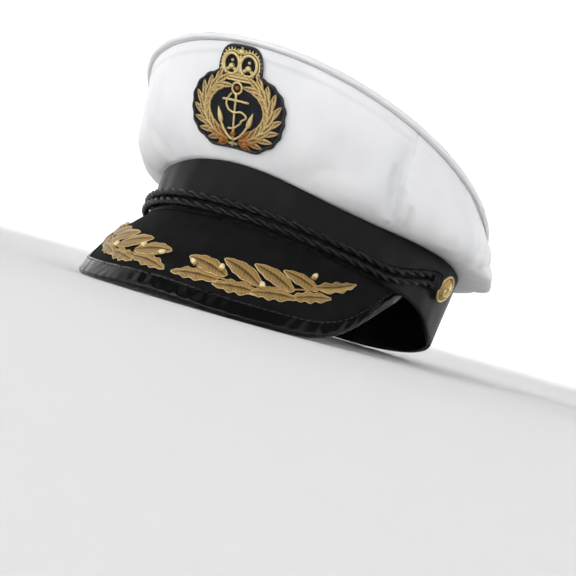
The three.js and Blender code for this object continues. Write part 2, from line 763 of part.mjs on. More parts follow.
// Half the width of a laurel leaf along its length: widest in the middle, narrow at both ends.
function laurelHalf(share) {
  const body = Math.sin(Math.PI * clamp(share, 0, 1)) ** WREATH_LEAF.fullness;
  return WREATH_LEAF.end + (WREATH_LEAF.width / 2) * body;
}

const wreathCurve = arc(0, WREATH.centreY, WREATH.radiusX, WREATH.radiusY, WREATH.from, WREATH.to);

// Two branches of paired leaves, tied together at the bottom.
function wreathStrips({ low, high }) {
  const strips = [];
  for (const side of [1, -1]) {
    const sided = (curve) => (share) => {
      const place = curve(share);
      return new THREE.Vector2(side * place.x, place.y);
    };
    for (let station = 0; station < WREATH.stations; station++) {
      const share = station / WREATH.stations;
      const foot = wreathCurve(share);
      const way = wreathCurve(share + WREATH_LEAF.wayStep).sub(foot).setLength(WREATH_LEAF.length);
      for (const lean of [-1, 1]) {
        const tip = foot.clone().add(way).rotateAround(foot, lean * radians(WREATH_LEAF.spread));
        strips.push(ribbon(sided(straight(foot, tip)), laurelHalf, WREATH_LEAF.columns, low, high));
      }
    }
  }
  const tie = straight(
    new THREE.Vector2(-WREATH_TIE.halfLength, WREATH_TIE.y),
    new THREE.Vector2(WREATH_TIE.halfLength, WREATH_TIE.y),
  );
  strips.push(ribbon(tie, () => WREATH_TIE.halfWidth, WREATH_TIE.columns, low, high));
  return strips;
}

// Anchor: a ring, a shank, a stock, and two curved arms with flukes. It can be made wider all round.
function anchorStrips(grow, { low, high }) {
  const thin = () => ANCHOR.wire / 2 + grow;
  const thick = () => ANCHOR.thickWire / 2 + grow;
  const armY = ANCHOR.footY + ANCHOR.armRadius;
  const ring = ANCHOR.ringRadius;
  const ringHalf = (middle) =>
    arc(0, ANCHOR.ringY, ring, ring, middle - ANCHOR.ringHalfTurn, middle + ANCHOR.ringHalfTurn);
  const top = new THREE.Vector2(0, ANCHOR.ringY - ring);
  const foot = new THREE.Vector2(0, ANCHOR.footY);
  const stockEnd = new THREE.Vector2(ANCHOR.stockHalf, ANCHOR.stockY);
  const stockStart = new THREE.Vector2(-ANCHOR.stockHalf, ANCHOR.stockY);
  const arms = arc(0, armY, ANCHOR.armRadius, ANCHOR.armRadius, ANCHOR.armFrom, ANCHOR.armTo);
  const strips = [
    ribbon(ringHalf(0), thin, ANCHOR.ringColumns, low, high),
    ribbon(ringHalf(180), thin, ANCHOR.ringColumns, low, high),
    ribbon(straight(top, foot), thick, ANCHOR.shankColumns, low, high),
    ribbon(straight(stockStart, stockEnd), thin, ANCHOR.stockColumns, low, high),
    ribbon(arms, thick, ANCHOR.armColumns, low, high),
  ];
  const flukeHalf = (share) => FLUKE.end + grow + FLUKE.width * (1 - share);
  for (const side of [1, -1]) {
    const base = new THREE.Vector2(side * (ANCHOR.armRadius - FLUKE.inwards), armY - FLUKE.below);
    const tip = new THREE.Vector2(side * (ANCHOR.armRadius + FLUKE.outwards), armY + FLUKE.above);
    strips.push(ribbon(straight(base, tip), flukeHalf, FLUKE.columns, low, high));
  }
  return strips;
}

// Small crown: a base band, two round arches side by side, and an upright with an orb between them. It
// can be made wider all round.
function crownStrips(grow, { low, high }) {
  const baseY = (CROWN_BASE.low + CROWN_BASE.high) / 2;
  const baseEnd = CROWN_BASE.halfWidth + grow;
  const base = straight(new THREE.Vector2(-baseEnd, baseY), new THREE.Vector2(baseEnd, baseY));
  const baseHalf = () => (CROWN_BASE.high - CROWN_BASE.low) / 2 + grow;
  const orb = straight(new THREE.Vector2(0, CROWN_ORB.low), new THREE.Vector2(0, CROWN_ORB.high));
  const orbHalf = (share) => {
    const body = Math.sin(Math.PI * clamp(share, 0, 1)) ** CROWN_ORB.fullness;
    return CROWN_ORB.end + grow + CROWN_ORB.radius * body;
  };
  const upright = straight(new THREE.Vector2(0, baseY), new THREE.Vector2(0, CROWN_UPRIGHT.high));
  const archHalf = () => CROWN_ARCH.bar / 2 + grow;
  const strips = [
    ribbon(base, baseHalf, CROWN_BASE.columns, low, high),
    ribbon(orb, orbHalf, CROWN_ORB.columns, low, high),
    ribbon(upright, () => CROWN_UPRIGHT.halfWidth + grow, CROWN_UPRIGHT.columns, low, high),
  ];
  for (const side of [1, -1]) {
    const { y, radiusX, radiusY, from, to, columns } = CROWN_ARCH;
    const curve = arc(side * CROWN_ARCH.x, y, radiusX, radiusY, from, to);
    strips.push(ribbon(curve, archHalf, columns, low, high));
  }
  return strips;
}

const rooms = [...anchorStrips(ROOM_GAP, ROOM), ...crownStrips(ROOM_GAP, ROOM)];
addPiece("badge_wreath", bend(fuse(wreathStrips(ORNAMENT), rooms), badgeChart), "goldThread");
addPiece("badge_anchor", bend(fuse(anchorStrips(0, ORNAMENT)), badgeChart), "goldThread");
addPiece("badge_crown", bend(fuse(crownStrips(0, ORNAMENT)), badgeChart), "goldThread");

// Oak sprays. The flat chart of a half peak: x is millimetres along it from the middle and y is
// millimetres across it from the band.
const peakDepth = peakTop(0, 0).distanceTo(peakTop(0, 1));

function oakChart(side) {
  return (x, y, height) => {
    const along = OAK.mirrorAlong + side * (x / OAK.chartLength - OAK.mirrorAlong);
    return peakPoint(along, y / peakDepth, GAP + height);
  };
}

// Half the width of an oak leaf along its length, with rounded lobes and ends that aren't quite pointed.
function oakHalf(width) {
  const { lobes, lobeMiddle, lobeDepth, fullness, footShare, spanShare } = OAK_OUTLINE;
  return (share) => {
    const body = Math.sin(Math.PI * clamp(footShare + spanShare * share, 0, 1)) ** fullness;
    const lobe = lobeMiddle - lobeDepth * Math.cos(2 * Math.PI * lobes * share);
    return (width / 2) * body * lobe;
  };
}

function oakSpray(side) {
  const place = (along, across) => new THREE.Vector2(along * OAK.chartLength, across * peakDepth);
  const strips = OAK_LEAVES.map((leaf) => {
    const line = straight(place(leaf.along, leaf.across), place(leaf.tipAlong, leaf.tipAcross));
    return ribbon(line, oakHalf(leaf.width), OAK.columns, 0, OAK.thickness);
  });
  const stem = straight(
    place(OAK_STEM.along, OAK_STEM.across),
    place(OAK_STEM.toAlong, OAK_STEM.toAcross),
  );
  strips.push(ribbon(stem, () => OAK_STEM.halfWidth, OAK_STEM.columns, 0, OAK.thickness));
  return bend(fuse(strips), oakChart(side));
}

addPiece("oak_spray_left", oakSpray(1), "goldThread");
addPiece("oak_spray_right", oakSpray(-1), "goldThread");

// The resting pose: tilted back about the cap's width, then set with the middle of its box at the origin
// and its lowest point at z = 0.
cap.rotation.x = -Math.atan(REST_SLOPE);
cap.updateMatrixWorld(true);
const reach = new THREE.Box3().setFromObject(cap, true);
const middle = reach.getCenter(new THREE.Vector3());
cap.position.set(-middle.x, -middle.y, -reach.min.z);

const object = new THREE.Group();
object.add(cap);

export default object;
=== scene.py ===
"""Naval officer cap: the looks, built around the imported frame.

The cap's surfaces are worked out in the wearing frame, in millimetres: z = 0 is the lower plane of the
head band, -Y is the front and +X the wearer's left. RestPose lays them down as the cap rests, in metres in
the row frame. turn is an angle round the cap from the front to the wearer's left, in radians, and rise
goes up the cloth from 0 to 1.
"""

import logging
import math
from dataclasses import dataclass, field
from enum import Enum
from typing import Callable, Sequence

import bpy
import numpy as np
from mathutils import Matrix, Vector


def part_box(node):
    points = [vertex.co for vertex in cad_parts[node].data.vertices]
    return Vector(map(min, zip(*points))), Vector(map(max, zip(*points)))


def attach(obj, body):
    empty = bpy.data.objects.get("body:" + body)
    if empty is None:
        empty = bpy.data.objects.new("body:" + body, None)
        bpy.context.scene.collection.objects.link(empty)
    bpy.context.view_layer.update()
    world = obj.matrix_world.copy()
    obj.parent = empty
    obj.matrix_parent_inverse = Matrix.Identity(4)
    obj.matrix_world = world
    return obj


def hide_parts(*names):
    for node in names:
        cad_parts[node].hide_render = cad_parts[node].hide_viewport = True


Array = np.ndarray
Surface = Callable[[Array, Array], Array]
Chart = Callable[[Array, Array, Array], Array]
Tree = bpy.types.NodeTree
Socket = bpy.types.NodeSocket
Colour = tuple[float, float, float, float]
Drawn = tuple[tuple[float, ...], ...]
MM = 1e-3
UP = np.array([0.0, 0.0, 1.0])
UV_NAME = "cloth"
NEAR_EDGE = 0.01  # normals are taken at least this share away from a surface's edges
LOG = logging.getLogger("cap")

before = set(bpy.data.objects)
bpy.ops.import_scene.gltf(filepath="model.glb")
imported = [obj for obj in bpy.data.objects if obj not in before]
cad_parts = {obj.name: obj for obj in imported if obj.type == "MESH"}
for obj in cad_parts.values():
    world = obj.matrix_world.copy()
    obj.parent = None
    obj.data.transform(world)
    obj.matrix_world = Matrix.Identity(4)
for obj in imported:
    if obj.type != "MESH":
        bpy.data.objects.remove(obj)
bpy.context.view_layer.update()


class Slot(Enum):
    """The record's material slots."""

    CROWN = "crown_satin"
    BAND = "band_satin"
    PEAK = "peak_cloth"
    PATENT = "patent"
    CORD = "cord"
    GILT = "gilt"
    FELT = "badge_felt"
    GOLD = "gold_thread"


class Side(Enum):
    """The wearer's left and right, as the sign of X."""

    LEFT = 1
    RIGHT = -1


# Small numeric helpers


def smoothstep(value: Array, low: float, high: float) -> Array:
    """A share that eases from 0 at low to 1 at high.

    Args:
        value: places between or beyond the two limits.
        low: where the share is 0.
        high: where the share is 1.

    Returns:
        t squared times three minus two t, with t the clipped share.
    """
    share = np.clip((value - low) / (high - low), 0, 1)
    return share * share * (3 - 2 * share)


def wrap(turn: Array) -> Array:
    """The same turn between minus and plus half a circle."""
    return (np.asarray(turn, float) + np.pi) % (2 * np.pi) - np.pi


def level_out(turn: Array) -> Array:
    """Level direction away from the cap's middle."""
    turn = np.asarray(turn, float)
    return np.stack([np.sin(turn), -np.cos(turn), np.zeros_like(turn)], -1)


def unit(vectors: Array) -> Array:
    """Vectors divided by their lengths."""
    return vectors / np.maximum(np.linalg.norm(vectors, axis=-1, keepdims=True), 1e-12)


def dot(first: Array, second: Array) -> Array:
    """Scalar products, with the last axis kept."""
    return np.sum(first * second, -1, keepdims=True)


def run_length(points: Array) -> Array:
    """Length along a polyline, from its first point to each of its points."""
    return np.concatenate([[0.0], np.cumsum(np.linalg.norm(np.diff(points, axis=0), axis=1))])


def travel(path: Array, closes: bool) -> Array:
    """A path's unit directions: at each point the difference of its two neighbours."""
    return unit(np.roll(path, -1, 0) - np.roll(path, 1, 0) if closes else np.gradient(path, axis=0))


def left_of(way: Array) -> Array:
    """Flat directions turned to the left by a right angle."""
    return np.stack([-way[:, 1], way[:, 0]], 1)


def normal_of(surface: Surface, u: Array, v: Array, guide: Array) -> Array:
    """A surface's unit normal from the cross product of two small central differences.

    Args:
        surface: function of two parameters.
        u: first parameter.
        v: second parameter.
        guide: the normal is turned to this direction's side.

    Returns:
        Unit normals in the last axis.
    """
    step = 1e-3
    along = surface(u + step, v) - surface(u - step, v)
    across = surface(u, v + step) - surface(u, v - step)
    normal = unit(np.cross(along, across))
    return np.where(dot(normal, guide) < 0, -normal, normal)


@dataclass(frozen=True)
class Ripples:
    """Seeded sum of plane waves, for cloth that is not quite smooth.

    Each wave is a cosine of the distance along a random direction in the flat cloth, and the sum is
    divided by the root of half their number, so its size is about one.
    """

    seed: int
    shortest: float
    longest: float
    count: int = 16
    stretch: float = 1.0

    def __call__(self, x: Array, y: Array) -> Array:
        """Height at places on the flat cloth, x and y in millimetres."""
        source = np.random.default_rng(self.seed)
        wavelength = np.exp(source.uniform(math.log(self.shortest), math.log(self.longest), self.count))
        angle = source.uniform(0, 2 * np.pi, self.count)
        phase = source.uniform(0, 2 * np.pi, self.count)
        waves = [
            np.cos(2 * np.pi * (x * math.cos(a) + y * self.stretch * math.sin(a)) / w + p)
            for w, a, p in zip(wavelength, angle, phase)
        ]
        return np.sum(waves, 0) / math.sqrt(self.count / 2)


# Meshes: lofts through closed sections


@dataclass
class Patch:
    """A closed piece of mesh: points in millimetres, four-sided faces and a UV pair for each corner.

    shade darkens the finish and warmth reddens it, one value for each point.
    """

    points: Array
    quads: Array
    uv: Array
    shade: Array
    warmth: Array

    def outward(self) -> "Patch":
        """The patch with its faces turned outwards, by the sign of its enclosed volume."""
        corners = self.points[self.quads]
        spread = np.cross(corners[:, 1] - corners[:, 0], corners[:, 2] - corners[:, 0])
        spread += np.cross(corners[:, 2] - corners[:, 0], corners[:, 3] - corners[:, 0])
        middle = corners.mean(1) - self.points.mean(0)
        if np.sum(middle * spread) < 0:
            self.quads = self.quads[:, ::-1]
            self.uv = self.uv[:, ::-1]
        return self


def loft(sections: Array, closes: bool, shade: Array | float = 0.0, warmth: float = 0.0) -> Patch:
    """Joins closed sections into one body.

    Faces run between neighbouring points of neighbouring sections. The UV of a corner is the mean length
    in millimetres along the sections' path, and round them. Where the body doesn't close on itself, each
    end is closed by strips between the section's first half and its second, taken backwards.

    Args:
        sections: points with the axes section, place round it, and XYZ.
        closes: whether the last section joins the first.
        shade: darkening for each point, or one for all.
        warmth: reddening of the whole body.

    Returns:
        The closed patch with its faces outwards.
    """
    count, around = sections.shape[:2]
    steps = np.linalg.norm(np.diff(np.concatenate([sections, sections[:1]]), axis=0), axis=2)
    lengths = np.concatenate([[0.0], np.cumsum(np.median(steps, axis=1))])
    rounds = np.linalg.norm(np.diff(np.concatenate([sections, sections[:, :1]], 1), axis=1), axis=2)
    girths = np.concatenate([[0.0], np.cumsum(np.median(rounds, axis=0))])
    spans = count if closes else count - 1
    i, j = np.meshgrid(np.arange(spans), np.arange(around), indexing="ij")
    i, j = i.ravel(), j.ravel()
    here, there = i * around, (i + 1) % count * around
    after = (j + 1) % around
    quads = np.stack([here + j, here + after, there + after, there + j], 1)
    u = np.stack([lengths[i], lengths[i], lengths[i + 1], lengths[i + 1]], 1)
    v = np.stack([girths[j], girths[j + 1], girths[j + 1], girths[j]], 1)
    uv = np.stack([u, v], 2)
    if not closes:
        k = np.arange(around // 2 - 1)
        cap = np.stack([k, around - 1 - k, around - 2 - k, k + 1], 1)
        last = (count - 1) * around + cap[:, ::-1]
        quads = np.concatenate([quads, cap, last])
        ends = np.zeros((2 * len(k), 4, 2))
        ends[:, :, 1] = girths[np.concatenate([cap, cap[:, ::-1]])]
        uv = np.concatenate([uv, ends])
    total = count * around
    spread = [np.broadcast_to(x, (count, around)).reshape(total).astype(float) for x in (shade, warmth)]
    return Patch(sections.reshape(total, 3), quads, uv, spread[0], spread[1]).outward()


def wall_sections(outer: Array, inward: Array, thickness: float, edge: Array) -> Array:
    """Closed sections through a wall with round edges.

    At a distance d from an edge the two faces draw in by r minus the root of r squared less (r - d)
    squared, with r half the thickness, so that they meet on a half circle.

    Args:
        outer: outer face with the axes column, row and XYZ.
        inward: unit directions into the wall, of the same shape.
        thickness: distance between the faces.
        edge: each row's distance from the nearest edge.

    Returns:
        Sections that run up the outer face and down the inner one.
    """
    radius = thickness / 2
    near = np.clip(radius - edge, 0, radius)
    inset = (radius - np.sqrt(radius**2 - near**2))[:, None]
    face = outer + inward * inset
    back = outer + inward * (thickness - inset)
    return np.concatenate([face, back[:, ::-1]], 1)


def edged_rows(length: float, radius: float, rows: int) -> Array:
    """Shares from 0 to 1 that crowd at both ends, where a wall's edge is round."""
    near = radius / length * (1 - np.cos(np.linspace(0, np.pi / 2, 5)))
    middle = np.linspace(near[-1], 1 - near[-1], rows)
    return np.concatenate([near[:-1], middle, 1 - near[-2::-1]])


def tube(path: Array, normal: Array, radius: Array | float, sides: int, closes: bool) -> Patch:
    """Round body along a path.

    Each section is a circle spanned by the given normal and its cross product with the path's direction.

    Args:
        path: points along the middle.
        normal: unit normals, square to the path or nearly so, or one for all.
        radius: one radius, or one for each point.
        sides: points round a section, an even number.
        closes: whether the path is a loop.

    Returns:
        The closed patch.
    """
    way = travel(path, closes)
    normal = unit(normal - way * dot(normal, way))
    side = np.cross(way, normal)
    angle = np.linspace(0, 2 * np.pi, sides, endpoint=False)
    reach = np.broadcast_to(radius, (len(path),))[:, None, None]
    ring = normal[:, None] * np.cos(angle)[:, None] + side[:, None] * np.sin(angle)[:, None]
    return loft(path[:, None] + reach * ring, closes)


def spline(points: Sequence[Sequence[float]], count: int) -> Array:
    """Smooth curve through points: a Catmull-Rom spline, evenly sampled in its parameter."""
    knots = np.asarray(points, float)
    knots = np.concatenate([2 * knots[:1] - knots[1:2], knots, 2 * knots[-1:] - knots[-2:-1]])
    place = np.linspace(0, len(knots) - 3 - 1e-9, count)
    first = place.astype(int)
    t = (place - first)[:, None]
    a, b, c, d = (knots[first + k] for k in range(4))
    return 0.5 * (2 * b + (c - a) * t + (2 * a - 5 * b + 4 * c - d) * t**2 + (3 * b - a - 3 * c + d) * t**3)


@dataclass(frozen=True)
class RestPose:
    """Turns wearing-frame millimetres into row-frame metres.

    The cap is tilted back about X by the slope and then moved so that the band lies on the frame's band
    node.
    """

    slope: float

    def tilt(self, points: Array) -> Array:
        """Points turned about X: y and z by the cosine and sine of the slope's angle."""
        angle = math.atan(self.slope)
        cosine, sine = math.cos(angle), math.sin(angle)
        x, y, z = points[..., 0], points[..., 1], points[..., 2]
        return np.stack([x, y * cosine + z * sine, z * cosine - y * sine], -1)

    def place(self, points: Array) -> Array:
        """Places in metres in the row frame."""
        return self.tilt(points) * MM + self.offset()

    def offset(self) -> Array:
        """The move that lays the band's highest and rearmost reach on the frame's band node."""
        turn = np.linspace(0, 2 * np.pi, 61)
        rim = self.tilt(FORM.band(turn[:, None], np.array([0.0, 1.0]))) * MM
        top = np.array(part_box("band")[1])
        return np.array([0.0, top[1] - rim[..., 1].max(), top[2] - rim[..., 2].max()])


# The cap's form


@dataclass(frozen=True)
class Fold:
    """A crease in the crown's side from one place to another, turns in degrees, sizes in millimetres.

    Where the depth is less than zero, the cloth puffs out instead.
    ridge is the height of the roll of cloth beside the crease, on the side of the larger turn. skew is how
    many times wider the crease is on the side of the smaller turn.
    """

    turn: float
    rise: float
    to_turn: float
    to_rise: float
    width: float
    depth: float
    ridge: float = 0.0
    skew: float = 1.0


@dataclass(frozen=True)
class Bulge:
    """A small round bulge in the crown's side: its place, turn in degrees, its radius and height in mm."""

    turn: float
    rise: float
    radius: float
    height: float


@dataclass(frozen=True)
class CapForm:
    """The cap's surfaces in the wearing frame, as functions of two parameters, in millimetres."""

    gap: float = 0.3
    turn_step: float = 0.01
    half_length: float = 101.5
    half_width: float = 89.0
    squareness: float = 1.86
    front_limit: float = 100.0
    corner: float = 3.0
    height: float = 42.0
    front_dip: float = 1.5
    corner_dip: float = 4.5
    lean: float = 6.0
    side_lean: float = 3.0
    arch: float = 11.0
    arch_turn: float = math.radians(72)
    arch_end: float = math.radians(108)
    rim_length: float = 124.5
    rim_width: float = 106.0
    rim_taper: float = 0.09
    rim_y: float = -14.0
    rim_height: float = 72.0
    rim_rise: float = 21.0
    bulge_side: float = 17.0
    bulge_front: float = 3.0
    bulge_back: float = 0.0
    bulge_low: float = 0.72
    dish: float = 7.0
    turn_length: float = 1.8
    rise_length: float = 45.0
    flat_power: float = 20.0
    peak_turn: float = math.radians(72)
    peak_width: float = 90.0
    peak_end_y: float = -43.0
    peak_end_z: float = 4.5
    peak_front: float = -132.0
    peak_lift: float = 1.5
    peak_power: float = 18.0
    peak_bow: float = 3.0
    bow_length: float = 60.0
    peak_root_gap: float = 0.8
    lift_reach: float = 0.5
    binding_reach: float = 2.3
    rest_slope: float = 0.19
    button_turn: float = math.radians(91)
    button_radius: float = 8.0
    folds: tuple[Fold, ...] = (
        Fold(55.5, 0.06, 54.5, 0.66, 7.5, 3.2),
        Fold(66.5, 0.22, 61.5, 0.78, 7, 1.8),
        Fold(76, 0.25, 84, 0.8, 10, -2.0),
        Fold(102, 0.13, 114, 0.13, 10, -9.0),
        Fold(26, 0.0, 40, 0.4, 8, 2.0),
        Fold(96, 0.2, 112, 0.7, 9, 3.0),
        Fold(135, 0.15, 128, 0.8, 10, 2.4),
        Fold(172, 0.2, 184, 0.75, 10, 2.2),
        Fold(-150, 0.2, -142, 0.8, 10, 2.6),
        Fold(-108, 0.15, -100, 0.7, 9, 2.8),
        Fold(-66, 0.05, -62, 0.6, 8, 2.4),
    )

    def band(self, turn: Array, rise: Array) -> Array:
        """Outer face of the head band.

        An oval with a soft limit on how far forward it runs, so that the front is flat between two
        corners. The lower edge arches up over the peak. The upper edge is a little lower at the front,
        and dips half way to each side.
        """
        turn, rise = np.broadcast_arrays(wrap(turn), np.asarray(rise, float))
        sine, cosine = np.sin(turn), np.cos(turn)
        power = 2 / self.squareness
        front = np.clip(cosine, 0, None) ** 2
        low = self.arch * (1 - self.behind_arch(turn))
        dip = self.front_dip * front + self.corner_dip * (4 * front * sine**2)
        z = low + (self.height - dip - low) * rise
        x = self.half_width * np.sign(sine) * np.abs(sine) ** power
        y = -self.half_length * np.sign(cosine) * np.abs(cosine) ** power
        y = y + self.corner * np.logaddexp(0, (-self.front_limit - y) / self.corner)
        return np.stack([x, y, z], -1) + self.band_lean(turn) * (z / self.height)[..., None]

    def behind_arch(self, turn: Array) -> Array:
        """Share of the band's side that lies behind the peak's arch."""
        return smoothstep(np.abs(wrap(turn)), self.arch_turn, self.arch_end)

    def band_lean(self, turn: Array) -> Array:
        """How far the band leans out over its whole height: forwards in front, and to the sides behind."""
        side = self.side_lean * np.sin(turn) * self.behind_arch(turn)
        front = self.lean * np.clip(np.cos(turn), 0, None) ** 2
        return np.stack([side, -front, 0 * side], -1)

    def band_at(self, turn: Array, z: Array) -> Array:
        """A place on the band's outer face at a height: half way up, moved along the lean."""
        turn, z = np.broadcast_arrays(np.asarray(turn, float), np.asarray(z, float))
        point = self.band(turn, 0.5)
        point = point + self.band_lean(turn) * ((z - point[..., 2]) / self.height)[..., None]
        return np.concatenate([point[..., :2], z[..., None]], -1)

    def band_out(self, turn: Array) -> Array:
        """Level direction square to the band's face: its direction of travel turned by a right angle."""
        way = self.band_way(turn, 0.5)
        return unit(np.stack([way[..., 1], -way[..., 0], np.zeros_like(way[..., 0])], -1))

    def band_way(self, turn: Array, rise: float) -> Array:
        """The band's direction of travel: the difference of two places at either side."""
        return self.band(turn + self.turn_step, rise) - self.band(turn - self.turn_step, rise)

    def rim(self, turn: Array) -> Array:
        """The crown's rim: an oval, narrower to the back, in a plane that rises to the front."""
        turn = np.asarray(turn, float)
        x = self.rim_width * np.sin(turn) * (1 - self.rim_taper * (1 - np.cos(turn)) / 2)
        y = self.rim_y - self.rim_length * np.cos(turn)
        return np.stack([x, y, self.rim_height + self.rim_rise * np.cos(turn)], -1)

    def fold_line(self, fold: Fold, turn: Array, rise: Array) -> tuple[Array, Array, Array]:
        """Distances from a fold's line on the flat cloth.

        Returns:
            The distance to the nearest point of the line, the signed distance across it, and the share
            along it.
        """
        x = np.degrees(wrap(turn - math.radians(fold.turn))) * self.turn_length
        y = (rise - fold.rise) * self.rise_length
        run = (fold.to_turn - fold.turn) * self.turn_length
        climb = (fold.to_rise - fold.rise) * self.rise_length
        length = math.hypot(run, climb)
        along = (x * run + y * climb) / length
        across = (x * climb - y * run) / length
        beyond = along - np.clip(along, 0, length)
        return np.hypot(across, beyond), across, along / length

    def fold_depth(self, turn: Array, rise: Array) -> Array:
        """How far the main folds press the cloth in: a bell curve of the distance from each line."""
        depth = sum(
            f.depth * np.exp(-((self.fold_line(f, turn, rise)[0] / f.width) ** 2)) for f in self.folds
        )
        return depth * np.sqrt(np.sin(np.pi * np.clip(rise, 0, 1)))

    def crown_foot(self, turn: Array) -> Array:
        """The crown's lower edge, on top of the band."""
        return self.band(turn, 1.0) + UP * self.gap

    def crown_square(self, turn: Array) -> Array:
        """Direction square to the straight line from the crown's foot to its rim, out and down.

        The cloth's outer face always looks to this side, also where it leaves the band level.
        """
        chord = self.rim(turn) - self.crown_foot(turn)
        out = level_out(turn)
        return unit(out * chord[..., 2:] - UP * dot(chord, out))

    def crown(self, turn: Array, rise: Array) -> Array:
        """Outer face of the crown's side.

        A straight line from the band's top to the rim, pushed out square to it by a bulge that is
        largest at the sides, less the depth of the folds.
        """
        turn, rise = np.broadcast_arrays(wrap(turn), np.asarray(rise, float))
        low = self.crown_foot(turn)
        chord = self.rim(turn) - low
        square = self.crown_square(turn)
        end = np.where(np.cos(turn) > 0, self.bulge_front, self.bulge_back)
        bulge = self.bulge_side + (end - self.bulge_side) * np.cos(turn) ** 2
        belly = bulge * np.sin(np.pi * np.clip(rise, 0, 1) ** self.bulge_low)
        return low + chord * rise[..., None] + square * (belly - self.fold_depth(turn, rise))[..., None]

    def crown_normal(self, turn: Array, rise: Array) -> Array:
        """Outward normal of the crown's side, level at the band and in the rim's plane at the rim."""
        turn, rise = np.broadcast_arrays(np.asarray(turn, float), np.asarray(rise, float))
        out = level_out(turn)
        middle = np.array([0.0, self.rim_y, self.rim_height])
        share = rise[..., None]
        flat = out * (1 - share) + unit(self.rim(turn) - middle) * share
        flatness = np.abs(2 * share - 1) ** self.flat_power
        inner = np.clip(rise, NEAR_EDGE, 1 - NEAR_EDGE)
        normal = normal_of(self.crown, turn, inner, self.crown_square(turn))
        return unit(normal * (1 - flatness) + flat * flatness)

    def top(self, turn: Array, inset: Array) -> Array:
        """Top panel's underside: the rim drawn in to the middle, hanging down by a squared sine."""
        turn, inset = np.broadcast_arrays(np.asarray(turn, float), np.asarray(inset, float))
        middle = np.array([0.0, self.rim_y, self.rim_height])
        rim = self.rim(turn)
        point = rim + (middle - rim) * inset[..., None]
        return point - UP * (self.dish * np.sin(np.pi / 2 * inset) ** 2)[..., None]

    def peak_edge(self, angle: Array) -> Array:
        """The peak's edge: half an oval over the rest plane, whose ends turn up to the band."""
        side = np.abs(np.sin(angle))
        y = self.peak_end_y + (self.peak_front - self.peak_end_y) * np.cos(angle)
        end = self.peak_end_z + self.rest_slope * (self.half_length - self.peak_end_y)
        middle = self.peak_lift * np.clip(1 - (side / self.lift_reach) ** 2, 0, 1) ** 2
        rest = self.binding_reach - self.rest_slope * (self.half_length - y)
        return np.stack([self.peak_width * np.sin(angle), y, rest + middle + end * side**self.peak_power], -1)

    def peak(self, along: Array, depth: Array) -> Array:
        """Top face of the peak: lines from the band's lower edge to the peak's edge, bowed upwards."""
        along, depth = np.broadcast_arrays(np.asarray(along, float), np.asarray(depth, float))
        turn = self.peak_turn * along
        root = self.band(turn, 0.0) - UP * self.peak_root_gap
        chord = self.peak_edge(along * np.pi / 2) - root
        square = unit(np.cross(self.band_way(turn, 0.0), chord))
        square = np.where(square[..., 2:] < 0, -square, square)
        length = np.linalg.norm(chord, axis=-1)
        bow = self.peak_bow * np.minimum(length / self.bow_length, 1) * np.sin(np.pi * depth)
        return root + chord * depth[..., None] + square * bow[..., None]

    def peak_point(self, along: Array, depth: Array, height: Array) -> Array:
        """A place over the peak: its top face plus the height along its normal."""
        along, depth, height = np.broadcast_arrays(*(np.asarray(a, float) for a in (along, depth, height)))
        inner = np.clip(along, NEAR_EDGE / 2 - 1, 1 - NEAR_EDGE / 2)
        normal = normal_of(self.peak, inner, np.clip(depth, NEAR_EDGE, 1 - NEAR_EDGE), UP)
        return self.peak(along, depth) + normal * height[..., None]

    def peak_length(self, along: Array) -> Array:
        """Distance from the band to the peak's edge."""
        return np.linalg.norm(self.peak(along, 0.0) - self.peak(along, 1.0), axis=-1)


FORM = CapForm()
REST = RestPose(FORM.rest_slope)


# Finishes


def linear(hexadecimal: str) -> Colour:
    """An sRGB hex colour as linear RGBA: the sRGB curve undone, channel by channel."""
    channels = [int(hexadecimal[i : i + 2], 16) / 255 for i in (1, 3, 5)]
    red, green, blue = (c / 12.92 if c <= 0.04045 else ((c + 0.055) / 1.055) ** 2.4 for c in channels)
    return red, green, blue, 1.0


def add_node(tree: Tree, kind: str, inputs: dict | None = None, **settings) -> bpy.types.Node:
    """Adds a node.

    Args:
        tree: the material's node tree.
        kind: the node's type name.
        inputs: socket name or number to a value, or to the output socket that is linked to it.
        **settings: the node's own properties.

    Returns:
        The node.
    """
    made = tree.nodes.new(kind)
    for key, value in settings.items():
        setattr(made, key, value)
    for key, value in (inputs or {}).items():
        if isinstance(value, Socket):
            tree.links.new(value, made.inputs[key])
        else:
            made.inputs[key].default_value = value
    return made


@dataclass(frozen=True)
class Finish:
    """A surface's finish: a Principled shader with procedural detail. Lengths are in millimetres."""

    name: str
    slot: Slot
    colour: str
    roughness: float
    metallic: float = 0.0
    sheen: float = 0.0
    sheen_roughness: float = 0.45
    specular: float = 0.5

    def material(self) -> bpy.types.Material:
        """The finish's material, made once.

        Returns:
            A node material whose shader the subclass has dressed.
        """
        found = bpy.data.materials.get(self.name)
        if found:
            return found
        made = bpy.data.materials.new(self.name)
        made.use_nodes = True
        tree = made.node_tree
        shader = tree.nodes["Principled BSDF"]
        values = {
            "Base Color": linear(self.colour),
            "Roughness": self.roughness,
            "Metallic": self.metallic,
            "Sheen Weight": self.sheen,
            "Sheen Roughness": self.sheen_roughness,
            "Specular IOR Level": self.specular,
        }
        for socket, value in values.items():
            shader.inputs[socket].default_value = value
        self.dress(tree, shader)
        return made

    def dress(self, tree: Tree, shader: bpy.types.Node) -> None:
        """Adds the finish's own detail to the shader."""


